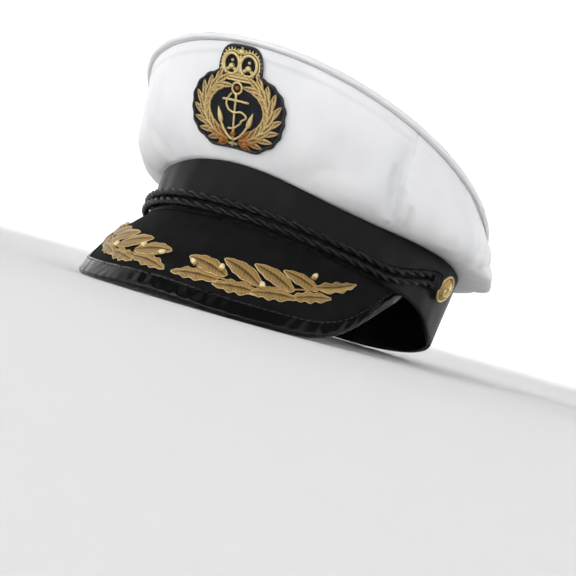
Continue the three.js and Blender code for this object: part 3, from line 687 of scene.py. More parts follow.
def flat_cloth(tree: Tree, across: float, along: float, turn: float = 0.0) -> Socket:
    """The piece's own UV, which is in millimetres, scaled and turned for a pattern.

    Args:
        tree: the material's node tree.
        across: length of the pattern's unit in the first direction.
        along: length of the pattern's unit in the second direction.
        turn: turn of the pattern in radians.

    Returns:
        The vector output.
    """
    own = add_node(tree, "ShaderNodeUVMap", uv_map=UV_NAME).outputs["UV"]
    inputs = {"Vector": own, "Scale": (1 / across, 1 / along, 1.0), "Rotation": (0.0, 0.0, turn)}
    return add_node(tree, "ShaderNodeMapping", inputs).outputs["Vector"]


def in_place(tree: Tree) -> Socket:
    """Places on the object, in metres."""
    return add_node(tree, "ShaderNodeTexCoord").outputs["Object"]


def own_value(tree: Tree, name: str) -> Socket:
    """The piece's own shade or warmth."""
    return add_node(tree, "ShaderNodeAttribute", attribute_name=name).outputs["Fac"]


def noise(tree: Tree, place: Socket, scale: float = 1.0, detail: float = 2.0, rough: float = 0.5) -> Socket:
    """Noise at a place, its lumps one unit over the scale apart."""
    inputs = {"Vector": place, "Scale": scale, "Detail": detail, "Roughness": rough}
    return add_node(tree, "ShaderNodeTexNoise", inputs).outputs["Fac"]


def add_values(tree: Tree, first: Socket, second: Socket, clamped: bool) -> Socket:
    """The sum of two values, kept between 0 and 1 where it is clamped."""
    inputs = {0: first, 1: second}
    return add_node(tree, "ShaderNodeMath", inputs, operation="ADD", use_clamp=clamped).outputs[0]


def emboss(tree: Tree, shader: bpy.types.Node, height: Socket, depth: float, strength: float) -> None:
    """Gives the shader a bump from a height, its depth in millimetres."""
    inputs = {"Height": height, "Distance": depth * MM, "Strength": strength}
    tree.links.new(add_node(tree, "ShaderNodeBump", inputs).outputs["Normal"], shader.inputs["Normal"])


def blend_colours(tree: Tree, share: Socket, first: Socket | Colour, second: Colour) -> Socket:
    """Mixes two colours: the first at a share of 0, the second at 1."""
    mixed = add_node(tree, "ShaderNodeMix", {0: share, 6: first, 7: second}, data_type="RGBA")
    return mixed.outputs[2]


def spread(tree: Tree, value: Socket, low: float, high: float, to: tuple[float, float]) -> Socket:
    """Maps a value between two limits, low and high, to the range in to, clipped."""
    inputs = {"Value": value, "From Min": low, "From Max": high, "To Min": to[0], "To Max": to[1]}
    return add_node(tree, "ShaderNodeMapRange", inputs).outputs["Result"]


@dataclass(frozen=True)
class Satin(Finish):
    """Polyester satin, woven with long floats.

    The floats run up the cloth and give a soft gloss with fine streaks. Real threads are about 0.1 mm
    apart. They are drawn 0.7 mm apart so that the streaks just show.
    """

    thread: float = 0.7
    float_length: float = 14.0
    cloud_width: float = 38.0
    cloud_length: float = 52.0
    shadow: str = "#e4e6ea"
    depth: float = 0.035

    def dress(self, tree: Tree, shader: bpy.types.Node) -> None:
        """Streaks of bump and gloss along the floats, and clouds of a slightly different colour."""
        streaks = noise(tree, flat_cloth(tree, self.thread, self.float_length), detail=3.0)
        clouds = noise(tree, flat_cloth(tree, self.cloud_width, self.cloud_length))
        cloudy = spread(tree, clouds, 0.4, 0.7, (0.0, 1.0))
        colour = blend_colours(tree, cloudy, linear(self.colour), linear(self.shadow))
        rough = spread(tree, streaks, 0.3, 0.7, (self.roughness - 0.05, self.roughness + 0.07))
        tree.links.new(colour, shader.inputs["Base Color"])
        tree.links.new(rough, shader.inputs["Roughness"])
        emboss(tree, shader, streaks, self.depth, 0.5)


@dataclass(frozen=True)
class BrushedCloth(Finish):
    """Brushed or felted cloth: a matt nap of short fibres with a faint mottle of tufts.

    Fibres are about 0.05 mm thick. They are drawn at the fibre size below so that they show.
    """

    fibre: float = 0.9
    tuft: float = 9.0
    depth: float = 0.12
    dark: str = "#202023"

    def dress(self, tree: Tree, shader: bpy.types.Node) -> None:
        """Fibre bump from fine noise, and two tones from fine and coarse noise together."""
        place = in_place(tree)
        nap = noise(tree, place, 1 / (self.fibre * MM), 4.0, 0.7)
        mottle = noise(tree, place, 1 / (self.tuft * MM), 3.0)
        share = spread(tree, add_values(tree, nap, mottle, False), 0.75, 1.3, (0.0, 1.0))
        colour = blend_colours(tree, share, linear(self.dark), linear(self.colour))
        tree.links.new(colour, shader.inputs["Base Color"])
        emboss(tree, shader, nap, self.depth, 0.6)


@dataclass(frozen=True)
class Patent(Finish):
    """Patent leather cloth: PVC on a woven backing, pressed glossy, that crinkles where it is folded."""

    crinkle: float = 3.0
    crinkle_length: float = 6.6
    depth: float = 0.16
    handled: float = 16.0
    dullness: float = 0.16

    def dress(self, tree: Tree, shader: bpy.types.Node) -> None:
        """Crinkles across the strip from stretched noise, and duller patches where it was handled."""
        creases = noise(tree, flat_cloth(tree, self.crinkle, self.crinkle_length), detail=2.5)
        patches = noise(tree, flat_cloth(tree, self.handled, self.handled), detail=4.0)
        rough = spread(tree, patches, 0.42, 0.68, (self.roughness, self.roughness + self.dullness))
        tree.links.new(rough, shader.inputs["Roughness"])
        emboss(tree, shader, creases, self.depth, 0.7)


@dataclass(frozen=True)
class Thread(Finish):
    """Threads laid side by side: twisted cord plies, satin stitch and couched metal thread.

    Real threads are 0.2 to 0.4 mm thick. They are drawn coarser so that they show: a ridge and its groove
    are about two times the thread size below. slant turns them from the length of the piece. The deep
    colour is painted shade in the grooves, up to the share groove, and it also fills the shaded places;
    the warm one fills the places with warmth.
    """

    thread: float = 0.9
    slant: float = math.radians(35)
    deep: str = "#4c3a14"
    warm: str = "#a8672c"
    depth: float = 0.12
    # painted shade in the grooves between threads, as a share of the deep colour
    groove: float = 0.25

    def dress(self, tree: Tree, shader: bpy.types.Node) -> None:
        """Ridges along the threads from a wave, painted shade in their grooves, and colour by the shade and
        warmth attributes.
        """
        laid = flat_cloth(tree, self.thread, self.thread, self.slant)
        wave = {"Vector": laid, "Scale": 0.5 / math.pi, "Distortion": 0.6, "Detail": 1.0, "Detail Scale": 0.8}
        ridges = add_node(tree, "ShaderNodeTexWave", wave, wave_profile="SIN").outputs["Fac"]
        # painted shade: the grooves between the thread ridges are darkened towards the deep colour
        grooves = spread(tree, ridges, 0.0, 0.5, (self.groove, 0.0))
        darkening = add_values(tree, grooves, own_value(tree, "shade"), True)
        body = blend_colours(tree, own_value(tree, "warmth"), linear(self.colour), linear(self.warm))
        colour = blend_colours(tree, darkening, body, linear(self.deep))
        tree.links.new(colour, shader.inputs["Base Color"])
        emboss(tree, shader, ridges, self.depth, 0.8)


@dataclass(frozen=True)
class StampedGilt(Finish):
    """Brass, stamped and gilt: bright on the raised work, brown and dull in the ground."""

    ground: str = "#6b4d1c"
    stain: float = 1.6
    tarnish: float = 0.35
    dullness: float = 0.25

    def dress(self, tree: Tree, shader: bpy.types.Node) -> None:
        """Colour and roughness by the shade attribute, with faint tarnish from noise."""
        stains = noise(tree, in_place(tree), 1 / (self.stain * MM), 3.0)
        tarnish = spread(tree, stains, 0.5, 0.75, (0.0, self.tarnish))
        share = add_values(tree, own_value(tree, "shade"), tarnish, True)
        colour = blend_colours(tree, share, linear(self.colour), linear(self.ground))
        rough = spread(tree, share, 0.0, 1.0, (self.roughness, self.roughness + self.dullness))
        tree.links.new(colour, shader.inputs["Base Color"])
        tree.links.new(rough, shader.inputs["Roughness"])


@dataclass(frozen=True)
class PaintedFloor(Finish):
    """Plain matt studio floor."""

    def dress(self, tree: Tree, shader: bpy.types.Node) -> None:
        """A faint unevenness of gloss."""
        gloss = spread(tree, noise(tree, in_place(tree), 3.0), 0.3, 0.7, (0.75, 0.85))
        tree.links.new(gloss, shader.inputs["Roughness"])


WHITE_SATIN = Satin("polyester_satin_white_woven", Slot.CROWN, "#e9e9eb", 0.42, sheen=0.08, shadow="#dfe0e3")
BLACK_SATIN = Satin(
    "polyester_satin_black_woven", Slot.BAND, "#0f0f11", 0.42, specular=0.12, shadow="#0b0b0c", depth=0.05
)
PEAK_CLOTH = BrushedCloth(
    "brushed_cotton_charcoal", Slot.PEAK, "#1a1a1c", 0.85, specular=0.08, dark="#101011"
)
PATENT = Patent("pvc_patent_black_pressed", Slot.PATENT, "#050506", 0.1, specular=0.22)
BLACK_CORD = Thread(
    "rayon_cord_black_twisted", Slot.CORD, "#0f0f10", 0.34, specular=0.22, thread=0.7,
    slant=math.radians(28), deep="#030304", warm="#0f0f10",
)
STITCH = Thread(
    "polyester_sewing_thread_black", Slot.PATENT, "#141415", 0.5, thread=0.5, deep="#060607", warm="#141415"
)
FELT = BrushedCloth(
    "wool_felt_dark_navy", Slot.FELT, "#1f2028", 0.9, sheen=0.08, specular=0.25, dark="#131419"
)
BORDER = Thread(
    "rayon_edge_stitch_black", Slot.FELT, "#101012", 0.5, thread=0.9, slant=0.0, deep="#050505",
    warm="#101012",
)
OAK_LEAF = Thread(
    "rayon_satin_stitch_old_gold", Slot.GOLD, "#b08d4e", 0.42, metallic=0.3, thread=0.8, deep="#3c2a0f",
    depth=0.05,
)
LAUREL_LEAF = Thread(
    "rayon_satin_stitch_pale_gold", Slot.GOLD, "#d8bb7c", 0.38, metallic=0.3, thread=0.8, deep="#3c260e",
    warm="#b87430", depth=0.05,
)
PALE_EDGE = Thread(
    "metal_thread_pale_gold_couched", Slot.GOLD, "#dcc48c", 0.4, metallic=0.4, thread=0.8,
    slant=math.radians(60), depth=0.05,
)
GOLD_WIRE = Thread(
    "metal_thread_gold_couched", Slot.GOLD, "#d9c48c", 0.32, metallic=0.5, thread=0.8,
    slant=math.radians(60), depth=0.06,
)
TIE_THREAD = Thread(
    "rayon_satin_stitch_grey_gold", Slot.GOLD, "#a3966c", 0.45, metallic=0.2, thread=0.8, deep="#3a3218",
    depth=0.05,
)
WARM_PADDING = Thread(
    "rayon_satin_stitch_amber", Slot.GOLD, "#9a5f24", 0.5, metallic=0.1, thread=0.8, deep="#4a2c10",
    depth=0.05,
)
CREAM = Thread(
    "rayon_satin_stitch_cream", Slot.GOLD, "#ecdcab", 0.4, metallic=0.1, thread=0.9, deep="#9c8446",
    warm="#d9b76a", depth=0.05,
)
GILT = StampedGilt("brass_stamped_gilt", Slot.GILT, "#f0dca6", 0.26, metallic=1.0, ground="#83642c")
FLOOR = PaintedFloor("painted_board_pale_matt", Slot.CROWN, "#fafafa", 0.8)


# Pieces


def add_mesh(name: str, points: Array, quads: Array, finish: Finish) -> bpy.types.Object:
    """Puts a smooth mesh with one finish into the scene.

    Args:
        name: the object's name.
        points: places in metres.
        quads: four point numbers for each face.
        finish: the finish of all faces.

    Returns:
        The object, at the origin.
    """
    mesh = bpy.data.meshes.new(name)
    mesh.from_pydata(points, [], quads.tolist())
    mesh.polygons.foreach_set("use_smooth", np.ones(len(mesh.polygons), bool))
    mesh.materials.append(finish.material())
    made = bpy.data.objects.new(name, mesh)
    bpy.context.scene.collection.objects.link(made)
    return made


@dataclass
class Piece:
    """One visible piece: its patches, its finish and the node it replaces."""

    name: str
    patches: list[Patch]
    finish: Finish
    replaces: tuple[str, ...] = ()

    def build(self) -> None:
        starts = np.cumsum([0] + [len(p.points) for p in self.patches[:-1]])
        points = REST.place(np.concatenate([p.points for p in self.patches]))
        quads = np.concatenate([p.quads + start for p, start in zip(self.patches, starts)])
        made = add_mesh(self.name, points, quads, self.finish)
        mesh = made.data
        uv = np.concatenate([p.uv for p in self.patches]).reshape(-1)
        mesh.uv_layers.new(name=UV_NAME).data.foreach_set("uv", uv.astype(np.float32))
        for name in ("shade", "warmth"):
            values = np.concatenate([getattr(p, name) for p in self.patches])
            mesh.attributes.new(name, "FLOAT", "POINT").data.foreach_set("value", values.astype(np.float32))
        mesh.validate()
        mesh.update()
        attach(made, "root")
        if self.replaces:
            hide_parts(*self.replaces)
        LOG.info("%s: %d faces, %s", self.name, len(mesh.polygons), self.finish.name)


# Sub-assemblies


@dataclass(frozen=True)
class HeadBand:
    """Black satin over a stiff strip, closed by an upright seam at the back."""

    wall: float = 2.5
    columns: int = 420
    rows: int = 22
    sag: Ripples = Ripples(11, 14, 60, stretch=0.6)
    sag_depth: float = 0.22
    seam_depth: float = 0.5
    seam_width: float = 1.6

    def build(self) -> None:
        """The band's wall: the form's outer face with faint waves and the seam's groove."""
        rise = edged_rows(FORM.height, self.wall / 2, self.rows)
        turn = np.linspace(-np.pi, np.pi, self.columns, endpoint=False)[:, None]
        waves = self.sag(turn * FORM.half_width, rise * FORM.height) * np.sqrt(np.sin(np.pi * rise))
        from_seam = wrap(turn - np.pi) * FORM.half_length
        seam = self.seam_depth * np.exp(-((from_seam / self.seam_width) ** 2))
        out = FORM.band_out(turn + 0 * rise)
        face = FORM.band(turn, rise) + out * (self.sag_depth * waves - seam)[..., None]
        edge = np.minimum(rise, 1 - rise) * FORM.height
        patch = loft(wall_sections(face, -out, self.wall, edge), True)
        Piece("band_satin", [patch], BLACK_SATIN, ("band",)).build()


@dataclass(frozen=True)
class Crown:
    """White satin crown: a front panel, a rear panel and a top, with a corded seam round the rim."""

    cloth: float = 2.0
    seam_turn: float = math.radians(56)
    piping: float = 1.5
    welt_radius: float = 0.8
    welt_depth: float = 1.15
    welt_end: float = 0.02
    rows: int = 64
    columns_a_degree: float = 1.5
    top_columns: int = 360
    top_rows: int = 56
    tuck: float = 0.8
    slack: float = 0.05
    waves: Ripples = Ripples(5, 26, 80, 14, 0.6)
    small_waves: Ripples = Ripples(23, 9, 22, 18, 0.7)
    gathers: Ripples = Ripples(8, 5, 11, 12, 0.0)
    top_waves: Ripples = Ripples(31, 30, 110, 14)
    piping_puckers: Ripples = Ripples(3, 4, 9, 12, 0.0)
    wave_depth: float = 0.7
    small_depth: float = 0.16
    gather_depth: float = 0.14
    gather_reach: float = 5.0
    rim_gathers: float = 0.7
    seam_pucker: float = 0.22
    pucker_reach: float = 3.5
    pucker_pitch: float = 5.5
    flange: float = 5.0
    flange_height: float = 0.6
    flange_ease: float = 1.6
    badge_turn: float = math.radians(19)
    top_edge: tuple[float, ...] = (0.0, 0.004, 0.01, 0.02)
    top_reach: tuple[float, float] = (0.035, 0.99995)
    top_ease: tuple[float, float] = (0.02, 0.25)
    top_rounding: float = 0.012
    top_wave_depth: float = 1.5
    top_small_depth: float = 0.3
    top_gather_depth: float = 0.3
    top_gather_reach: float = 9.0
    piping_pucker: float = 0.06
    creases: tuple[Fold, ...] = (
        Fold(55.0, 0.14, 52.6, 0.66, 2.8, 3.4, 2.0, 1.7),
        Fold(59.8, 0.02, 58.6, 0.4, 1.9, 2.8, 0.8),
        Fold(53.8, 0.5, 55.2, 0.94, 1.8, 1.2, 0.6, 1.6),
        Fold(74.0, 0.2, 69.0, 0.74, 4.6, 1.9, 0.4, 1.3),
        Fold(24.0, 0.02, 36.0, 0.34, 2.6, 0.5, 0.3),
        Fold(96.0, 0.16, 99.0, 0.5, 3.0, 1.6, 0.8),
        Fold(101.0, 0.16, 110.0, 0.34, 3.0, 0.8, 0.6),
        Fold(84.0, 0.3, 98.0, 0.62, 4.0, 0.8, 0.4),
        Fold(112.0, 0.5, 132.0, 0.8, 3.4, 0.9, 0.5),
        Fold(150.0, 0.1, 158.0, 0.7, 3.0, 1.0, 0.6),
        Fold(196.0, 0.1, 190.0, 0.6, 3.0, 0.8, 0.5),
        Fold(-128.0, 0.1, -120.0, 0.7, 3.0, 1.1, 0.6),
        Fold(-90.0, 0.05, -84.0, 0.5, 2.8, 1.0, 0.7),
        Fold(-60.0, 0.04, -56.0, 0.6, 2.6, 1.2, 0.8),
        Fold(-30.0, 0.02, -40.0, 0.4, 3.0, 0.6, 0.3),
    )
    bulges: tuple[Bulge, ...] = (
        Bulge(91.0, 0.13, 3.4, 1.8),
        Bulge(104.0, 0.34, 6.0, 1.2),
        Bulge(-96.0, 0.12, 5.0, 1.1),
        Bulge(166.0, 0.15, 6.0, 1.0),
    )

    def creasing(self, turn: Array, rise: Array) -> Array:
        """Height of the creases and bulges.

        A crease is a narrow bell inwards with a wider roll of cloth beside it, and a bulge is a round
        bell outwards.

        Args:
            turn: places round the cap.
            rise: places up the cloth.

        Returns:
            Millimetres outwards.
        """
        total = np.zeros(np.broadcast(turn, rise).shape)
        for fold in self.creases:
            distance, across, along = FORM.fold_line(fold, turn, rise)
            fade = np.sqrt(np.clip(np.sin(np.pi * np.clip(along, 0, 1)), 0, 1))
            width = np.where(across < 0, fold.width * fold.skew, fold.width)
            groove = np.exp(-((distance / width) ** 2))
            roll = np.exp(-(((across - 2 * fold.width) / (1.5 * fold.width)) ** 2))
            total = total + fade * (fold.ridge * roll - fold.depth * groove)
        for bulge in self.bulges:
            x = np.degrees(wrap(turn - math.radians(bulge.turn))) * FORM.turn_length
            y = (rise - bulge.rise) * FORM.rise_length
            total = total + bulge.height * np.exp(-((x**2 + y**2) / bulge.radius**2))
        return total

    def relief(self, turn: Array, rise: Array) -> Array:
        """Outward height of the cloth's detail over the form.

        Broad and small waves that die out at the edges and behind the badge, sharp creases, gathers
        that fade away from the band and the rim, puckers beside the two seams, and the turned-in edge
        under the rim as a low step.

        Args:
            turn: places round the cap.
            rise: places up the cloth.

        Returns:
            Millimetres outwards.
        """
        x = np.degrees(turn) * FORM.turn_length
        y = rise * FORM.rise_length
        inside = np.sin(np.pi * np.clip(rise, 0, 1)) ** 0.6
        clear = smoothstep(np.abs(wrap(turn)), self.badge_turn, 1.7 * self.badge_turn)
        waves = self.wave_depth * self.waves(x, y) + self.small_depth * self.small_waves(x, y)
        low = np.exp(-y / self.gather_reach)
        high = np.exp(-(FORM.rise_length - y) / self.gather_reach)
        gathers = self.gather_depth * self.gathers(x, 0 * y) * (low + self.rim_gathers * high)
        gathers = gathers * np.clip(4 * inside, 0, 1)
        seam = np.abs(np.abs(wrap(turn)) - self.seam_turn) * FORM.rim_width
        pucker = np.exp(-seam / self.pucker_reach) * np.cos(2 * np.pi * y / self.pucker_pitch)
        pucker = self.seam_pucker * pucker * inside
        turned_in = FORM.rise_length - self.flange
        step = self.flange_height * smoothstep(y, turned_in, turned_in + self.flange_ease)
        return (waves + self.creasing(turn, rise)) * inside * clear + gathers * clear + pucker + step

    def panel(self, name: str, start: float, end: float, node: str) -> None:
        """A side panel, with its upright edges drawn in nearly as round as the cloth is thick.

        Args:
            name: the piece's name.
            start: turn at which it begins.
            end: turn at which it ends.
            node: the node it replaces.
        """
        half_gap = FORM.gap / 2 / FORM.rim_width
        radius = self.cloth / 2
        columns = int(math.degrees(end - start) * self.columns_a_degree)
        width = (end - start) * FORM.rim_width
        share = edged_rows(width, radius, columns)
        turn = (start + half_gap + (end - start - 2 * half_gap) * share)[:, None]
        rise = edged_rows(FORM.rise_length, radius, self.rows)
        turn, rise = np.broadcast_arrays(turn, rise)
        normal = FORM.crown_normal(turn, rise)
        side = np.clip(radius - np.minimum(share, 1 - share) * width, 0, radius)
        tuck = (radius - np.sqrt(radius**2 - side**2))[:, None, None] * self.tuck
        face = FORM.crown(turn, rise) + normal * (self.relief(turn, rise)[..., None] - tuck)
        edge = np.minimum(rise[0], 1 - rise[0]) * FORM.rise_length
        patch = loft(wall_sections(face, -normal, self.cloth - self.slack, edge), False)
        Piece(name, [patch], WHITE_SATIN, (node,)).build()

    def welts(self) -> None:
        """The cloth turned in at the two upright seams: a thin roll that closes each from behind."""
        rise = np.linspace(self.welt_end, 1 - self.welt_end, 96)
        patches = []
        for side in Side:
            turn = np.full(rise.shape, side.value * self.seam_turn)
            normal = FORM.crown_normal(turn, rise)
            path = FORM.crown(turn, rise) + normal * (self.relief(turn, rise) - self.welt_depth)[:, None]
            patches.append(tube(path, normal, self.welt_radius, 10, False))
        Piece("crown_seam_welts", patches, WHITE_SATIN).build()

    def top(self) -> None:
        """The top panel: the form's dish under broad waves, closed at a small middle ring.

        Its UV is the plan view in millimetres, so that the weave runs straight across the top.
        """
        inset = np.concatenate([self.top_edge, np.linspace(*self.top_reach, self.top_rows)])
        turn = np.linspace(0, 2 * np.pi, self.top_columns, endpoint=False)
        turn, inset = np.meshgrid(turn, inset, indexing="ij")
        base = FORM.top(turn, inset)
        x, y = base[..., 0], base[..., 1]
        free = smoothstep(inset, *self.top_ease)
        waves = self.top_wave_depth * self.top_waves(x, y) + self.top_small_depth * self.small_waves(x, y)
        waves = waves * free
        gathers = self.top_gather_depth * self.gathers(turn * FORM.rim_width, 0 * turn)
        gathers = gathers * np.exp(-inset * FORM.rim_width / self.top_gather_reach)
        gathers = gathers * smoothstep(inset, 0, 0.03)
        rounding = self.cloth / 2 * np.clip(1 - inset / self.top_rounding, 0, 1) ** 2
        upper = base + UP * (FORM.gap + self.cloth + waves + gathers - rounding)[..., None]
        lower = base + UP * (FORM.gap + 0.02 + (waves + gathers) * free)[..., None]
        patch = loft(np.concatenate([upper, lower[:, ::-1]], 1), True)
        patch.uv = patch.points[patch.quads][..., :2]
        Piece("crown_top_satin", [patch], WHITE_SATIN, ("crown_top",)).build()

    def rim_cord(self) -> None:
        """The piping: a round cord in satin just outside the rim, with faint puckers.

        A thinner roll behind it is the seam that joins it to the rim.
        """
        turn = np.linspace(0, 2 * np.pi, 540, endpoint=False)
        out = level_out(turn)
        reach = self.piping + 2 * FORM.gap
        path = FORM.rim(turn) + out * reach + UP * self.piping
        pucker = self.piping_pucker * self.piping_puckers(turn * FORM.rim_width, 0 * turn)
        cord = tube(path, out, self.piping * (1 + pucker), 16, True)
        Piece("crown_piping_satin", [cord], WHITE_SATIN, ("crown_piping",)).build()
        inner = FORM.rim(turn) + out * FORM.gap + UP * (self.piping / 2)
        Piece("crown_rim_seam", [tube(inner, out, self.welt_radius, 10, True)], WHITE_SATIN).build()

    def build(self) -> None:
        """All of the crown's pieces."""
        self.panel("crown_front_satin", -self.seam_turn, self.seam_turn, "crown_front")
        self.panel("crown_rear_satin", self.seam_turn, 2 * np.pi - self.seam_turn, "crown_rear")
        self.welts()
        self.top()
        self.rim_cord()


@dataclass(frozen=True)
class Peak:
    """The board under charcoal cloth and the patent strip folded round its edge."""

    thickness: float = 2.0
    columns: int = 240
    rows: int = 40
    binding_width: float = 8.0
    binding_gap: float = 0.4
    lip: float = 0.7
    nose: float = 1.4
    binding_columns: int = 520
    run_points: int = 6
    edge_length: float = 140.0
    crinkle: Ripples = Ripples(17, 5, 20, 20, 0.5)
    crinkle_depth: float = 0.16
    crinkle_shift: float = 9.0
    crinkle_ease: tuple[float, float] = (0.2, 2.0)
    stitch_length: float = 2.6
    stitch_pitch: float = 3.8
    stitch_inset: float = 1.1
    stitch_radius: float = 0.24
    stitch_bow: float = 0.22
    stitch_sink: float = 0.05
    cloth_waves: Ripples = Ripples(29, 18, 60, 12)
    cloth_wave_depth: float = 0.08
    cloth_length: tuple[float, float] = (120.0, 50.0)
    seam_radius: float = 0.75
    seam_end: float = 0.985

    def along(self, columns: int) -> Array:
        """Places along the peak that crowd towards its ends: the sine of evenly spaced angles."""
        return np.sin(np.pi / 2 * np.linspace(-1, 1, columns))

    def covered(self, along: Array) -> Array:
        """Share of the peak's depth under the binding, narrower at the short ends."""
        return np.minimum(self.binding_width / FORM.peak_length(along), 0.7)

    def board(self) -> None:
        """The peak's wall: top face and underside along the form's normals."""
        along = self.along(self.columns)[:, None]
        depth = edged_rows(FORM.bow_length, self.thickness / 2, self.rows)
        along, depth = np.broadcast_arrays(along, depth)
        waves = self.cloth_waves(along * self.cloth_length[0], depth * self.cloth_length[1])
        top = FORM.peak_point(along, depth, self.cloth_wave_depth * waves * np.sin(np.pi * depth))
        inward = unit(FORM.peak_point(along, depth, -1.0) - FORM.peak_point(along, depth, 0.0))
        edge = np.minimum(depth[0], 1 - depth[0]) * FORM.bow_length
        patch = loft(wall_sections(top, inward, self.thickness, edge), False)
        Piece("peak_brushed_cloth", [patch], PEAK_CLOTH, ("peak",)).build()

    def profile(self) -> Array:
        """The strip's section as places past the edge and heights over the top face.

        It runs out over the board and in again beneath it, which is the inner face. Then it runs out
        underneath, round the nose, which is half an oval, and in over the top.
        """
        gap, lip, under, wide = self.binding_gap, self.lip, -self.thickness, self.binding_width
        run = np.linspace(0, 1, self.run_points)
        inner_top = np.stack([(wide + gap) * run - wide, gap + 0 * run], 1)
        inner_low = np.stack([gap - (wide + gap) * run, under - gap + 0 * run], 1)
        outer_low = np.stack([wide * (run - 1), under - gap - lip + 0 * run], 1)
        angle = np.linspace(-np.pi / 2, np.pi / 2, 10)[1:-1]
        half = (self.thickness + 2 * (gap + lip)) / 2
        nose = np.stack([(gap + self.nose) * np.cos(angle), under / 2 + half * np.sin(angle)], 1)
        outer_top = np.stack([-wide * run, gap + lip + 0 * run], 1)
        return np.concatenate([inner_top, inner_low, outer_low, nose, outer_top])

    def binding(self) -> None:
        """The patent strip: its section carried along the edge, with crinkles on the upper face."""
        along = self.along(self.binding_columns)[:, None]
        past, height = self.profile().T
        share = past / self.binding_width * self.covered(along)
        share = np.where(past < 0, share, past / FORM.peak_length(along))
        upper = (np.arange(len(past)) >= 2 * self.run_points) & (height > -self.thickness / 2)
        free = smoothstep(past + self.binding_width, *self.crinkle_ease) * upper
        lift = self.crinkle_depth * self.crinkle(along * self.edge_length, past + self.crinkle_shift)
        sections = FORM.peak_point(along, 1 + share, height + lift * free)
        Piece("peak_binding_patent", [loft(sections, False)], PATENT, ("peak_binding",)).build()

    def stitch_line(self, along: Array) -> Array:
        """Depth of the row of stitches, a little outside the binding's inner edge."""
        return 1 - self.covered(along) + self.stitch_inset / FORM.peak_length(along)

    def stitches(self) -> None:
        """A row of machine stitches along the binding's inner edge, each a short thread laid flat."""
        fine = np.linspace(-self.seam_end, self.seam_end, 2000)
        run = run_length(FORM.peak_point(fine, self.stitch_line(fine), 0.0))
        share = np.linspace(0, 1, 6)
        height = self.binding_gap + self.lip + self.stitch_bow * np.sin(np.pi * share) - self.stitch_sink
        patches = []
        for start in np.arange(1.0, run[-1] - self.stitch_pitch, self.stitch_pitch):
            place = np.interp(start + self.stitch_length * share, run, fine)
            path = FORM.peak_point(place, self.stitch_line(place), height)
            patches.append(tube(path, UP, self.stitch_radius, 6, False))
        Piece("peak_binding_stitches", patches, STITCH).build()

    def seam(self) -> None:
        """The seam that joins peak and band: a thin roll of cloth along the peak's root."""
        along = self.along(self.columns) * self.seam_end
        path = FORM.peak(along, 0.0) + UP * (FORM.peak_root_gap / 2)
        patch = tube(path, UP, self.seam_radius, 10, False)
        Piece("peak_root_seam", [patch], BLACK_SATIN).build()

    def build(self) -> None:
        """All of the peak's pieces."""
        self.board()
        self.binding()
        self.stitches()
        self.seam()


@dataclass(frozen=True)
class ChinCords:
    """Two cords, each twisted from two plies, that run over the band from button to button."""

    radius: float = 2.2
    ply: float = 1.28
    pitch: float = 15.5
    low_front: float = 13.6
    high_front: float = 18.6
    low_end: float = 25.3
    high_end: float = 30.5
    rise_turn: float = math.radians(58)
    steps: int = 560
    whipping_turns: int = 5
    whipping_start: float = 0.004
    whipping_pitch: float = 0.0062
    whipping_radius: float = 0.62

    def path(self, share: Array, front: float, end: float) -> tuple[Array, Array]:
        """The cord's middle line and the level direction out of the band.

        The cord keeps its height across the front and eases up to its button at each side. It stands
        off the band by its own radius and a small gap.

        Args:
            share: places along the cord, from 0 to 1.
            front: height over the band's lower plane in front.
            end: height at the buttons.

        Returns:
            Points and unit directions.
        """
        end_turn = FORM.button_turn - (FORM.button_radius + 2 * FORM.gap) / FORM.half_width
        turn = (2 * share - 1) * end_turn
        z = front + (end - front) * smoothstep(np.abs(turn), self.rise_turn, end_turn)
        out = FORM.band_out(turn)
        return FORM.band_at(turn, z) + out * (self.radius + 2 * FORM.gap), out

    def cord(self, name: str, front: float, end: float, node: str, phase: float) -> None:
        """One cord: each ply is a helix round the middle line, half a turn from the other.

        Args:
            name: the piece's name.
            front: height in front.
            end: height at the buttons.
            node: the node it replaces.
            phase: turn of the twist at the cord's start.
        """
        share = np.linspace(0, 1, self.steps)
        middle, out = self.path(share, front, end)
        side = unit(np.cross(travel(middle, False), out))
        offset = self.radius - self.ply
        patches = []
        for start in (0.0, np.pi):
            angle = 2 * np.pi * run_length(middle) / self.pitch + start + phase
            arm = out * np.cos(angle)[:, None] + side * np.sin(angle)[:, None]
            patches.append(tube(middle + arm * offset, arm, self.ply, 14, False))
        Piece(name, patches, BLACK_CORD, (node,)).build()

    def whippings(self) -> None:
        """Turns of thread round both cords beside each button, where the cord ends are bound."""
        patches = []
        for side in Side:
            for k in range(self.whipping_turns):
                share = 0.5 + side.value * (0.5 - self.whipping_start - self.whipping_pitch * k)
                low, out = self.path(np.array([share]), self.low_front, self.low_end)
                high, _ = self.path(np.array([share]), self.high_front, self.high_end)
                middle, reach = (low[0] + high[0]) / 2, (high[0] - low[0]) / 2
                angle = np.linspace(0, 2 * np.pi, 28, endpoint=False)
                tall = reach * (1 + (self.radius + 0.1) / np.linalg.norm(reach))
                ring = np.outer(np.cos(angle), tall) + np.outer(np.sin(angle), out[0] * (self.radius + 0.2))
                facing = np.cross(unit(tall), out[0])
                patches.append(tube(middle + ring, facing, self.whipping_radius, 8, True))
        Piece("chin_cord_whippings", patches, BLACK_CORD).build()

    def build(self) -> None:
        """Both cords and their bound ends."""
        self.cord("chin_cord_lower_twisted", self.low_front, self.low_end, "chin_cord_lower", 0.4)
        self.cord("chin_cord_upper_twisted", self.high_front, self.high_end, "chin_cord_upper", 2.1)
        self.whippings()


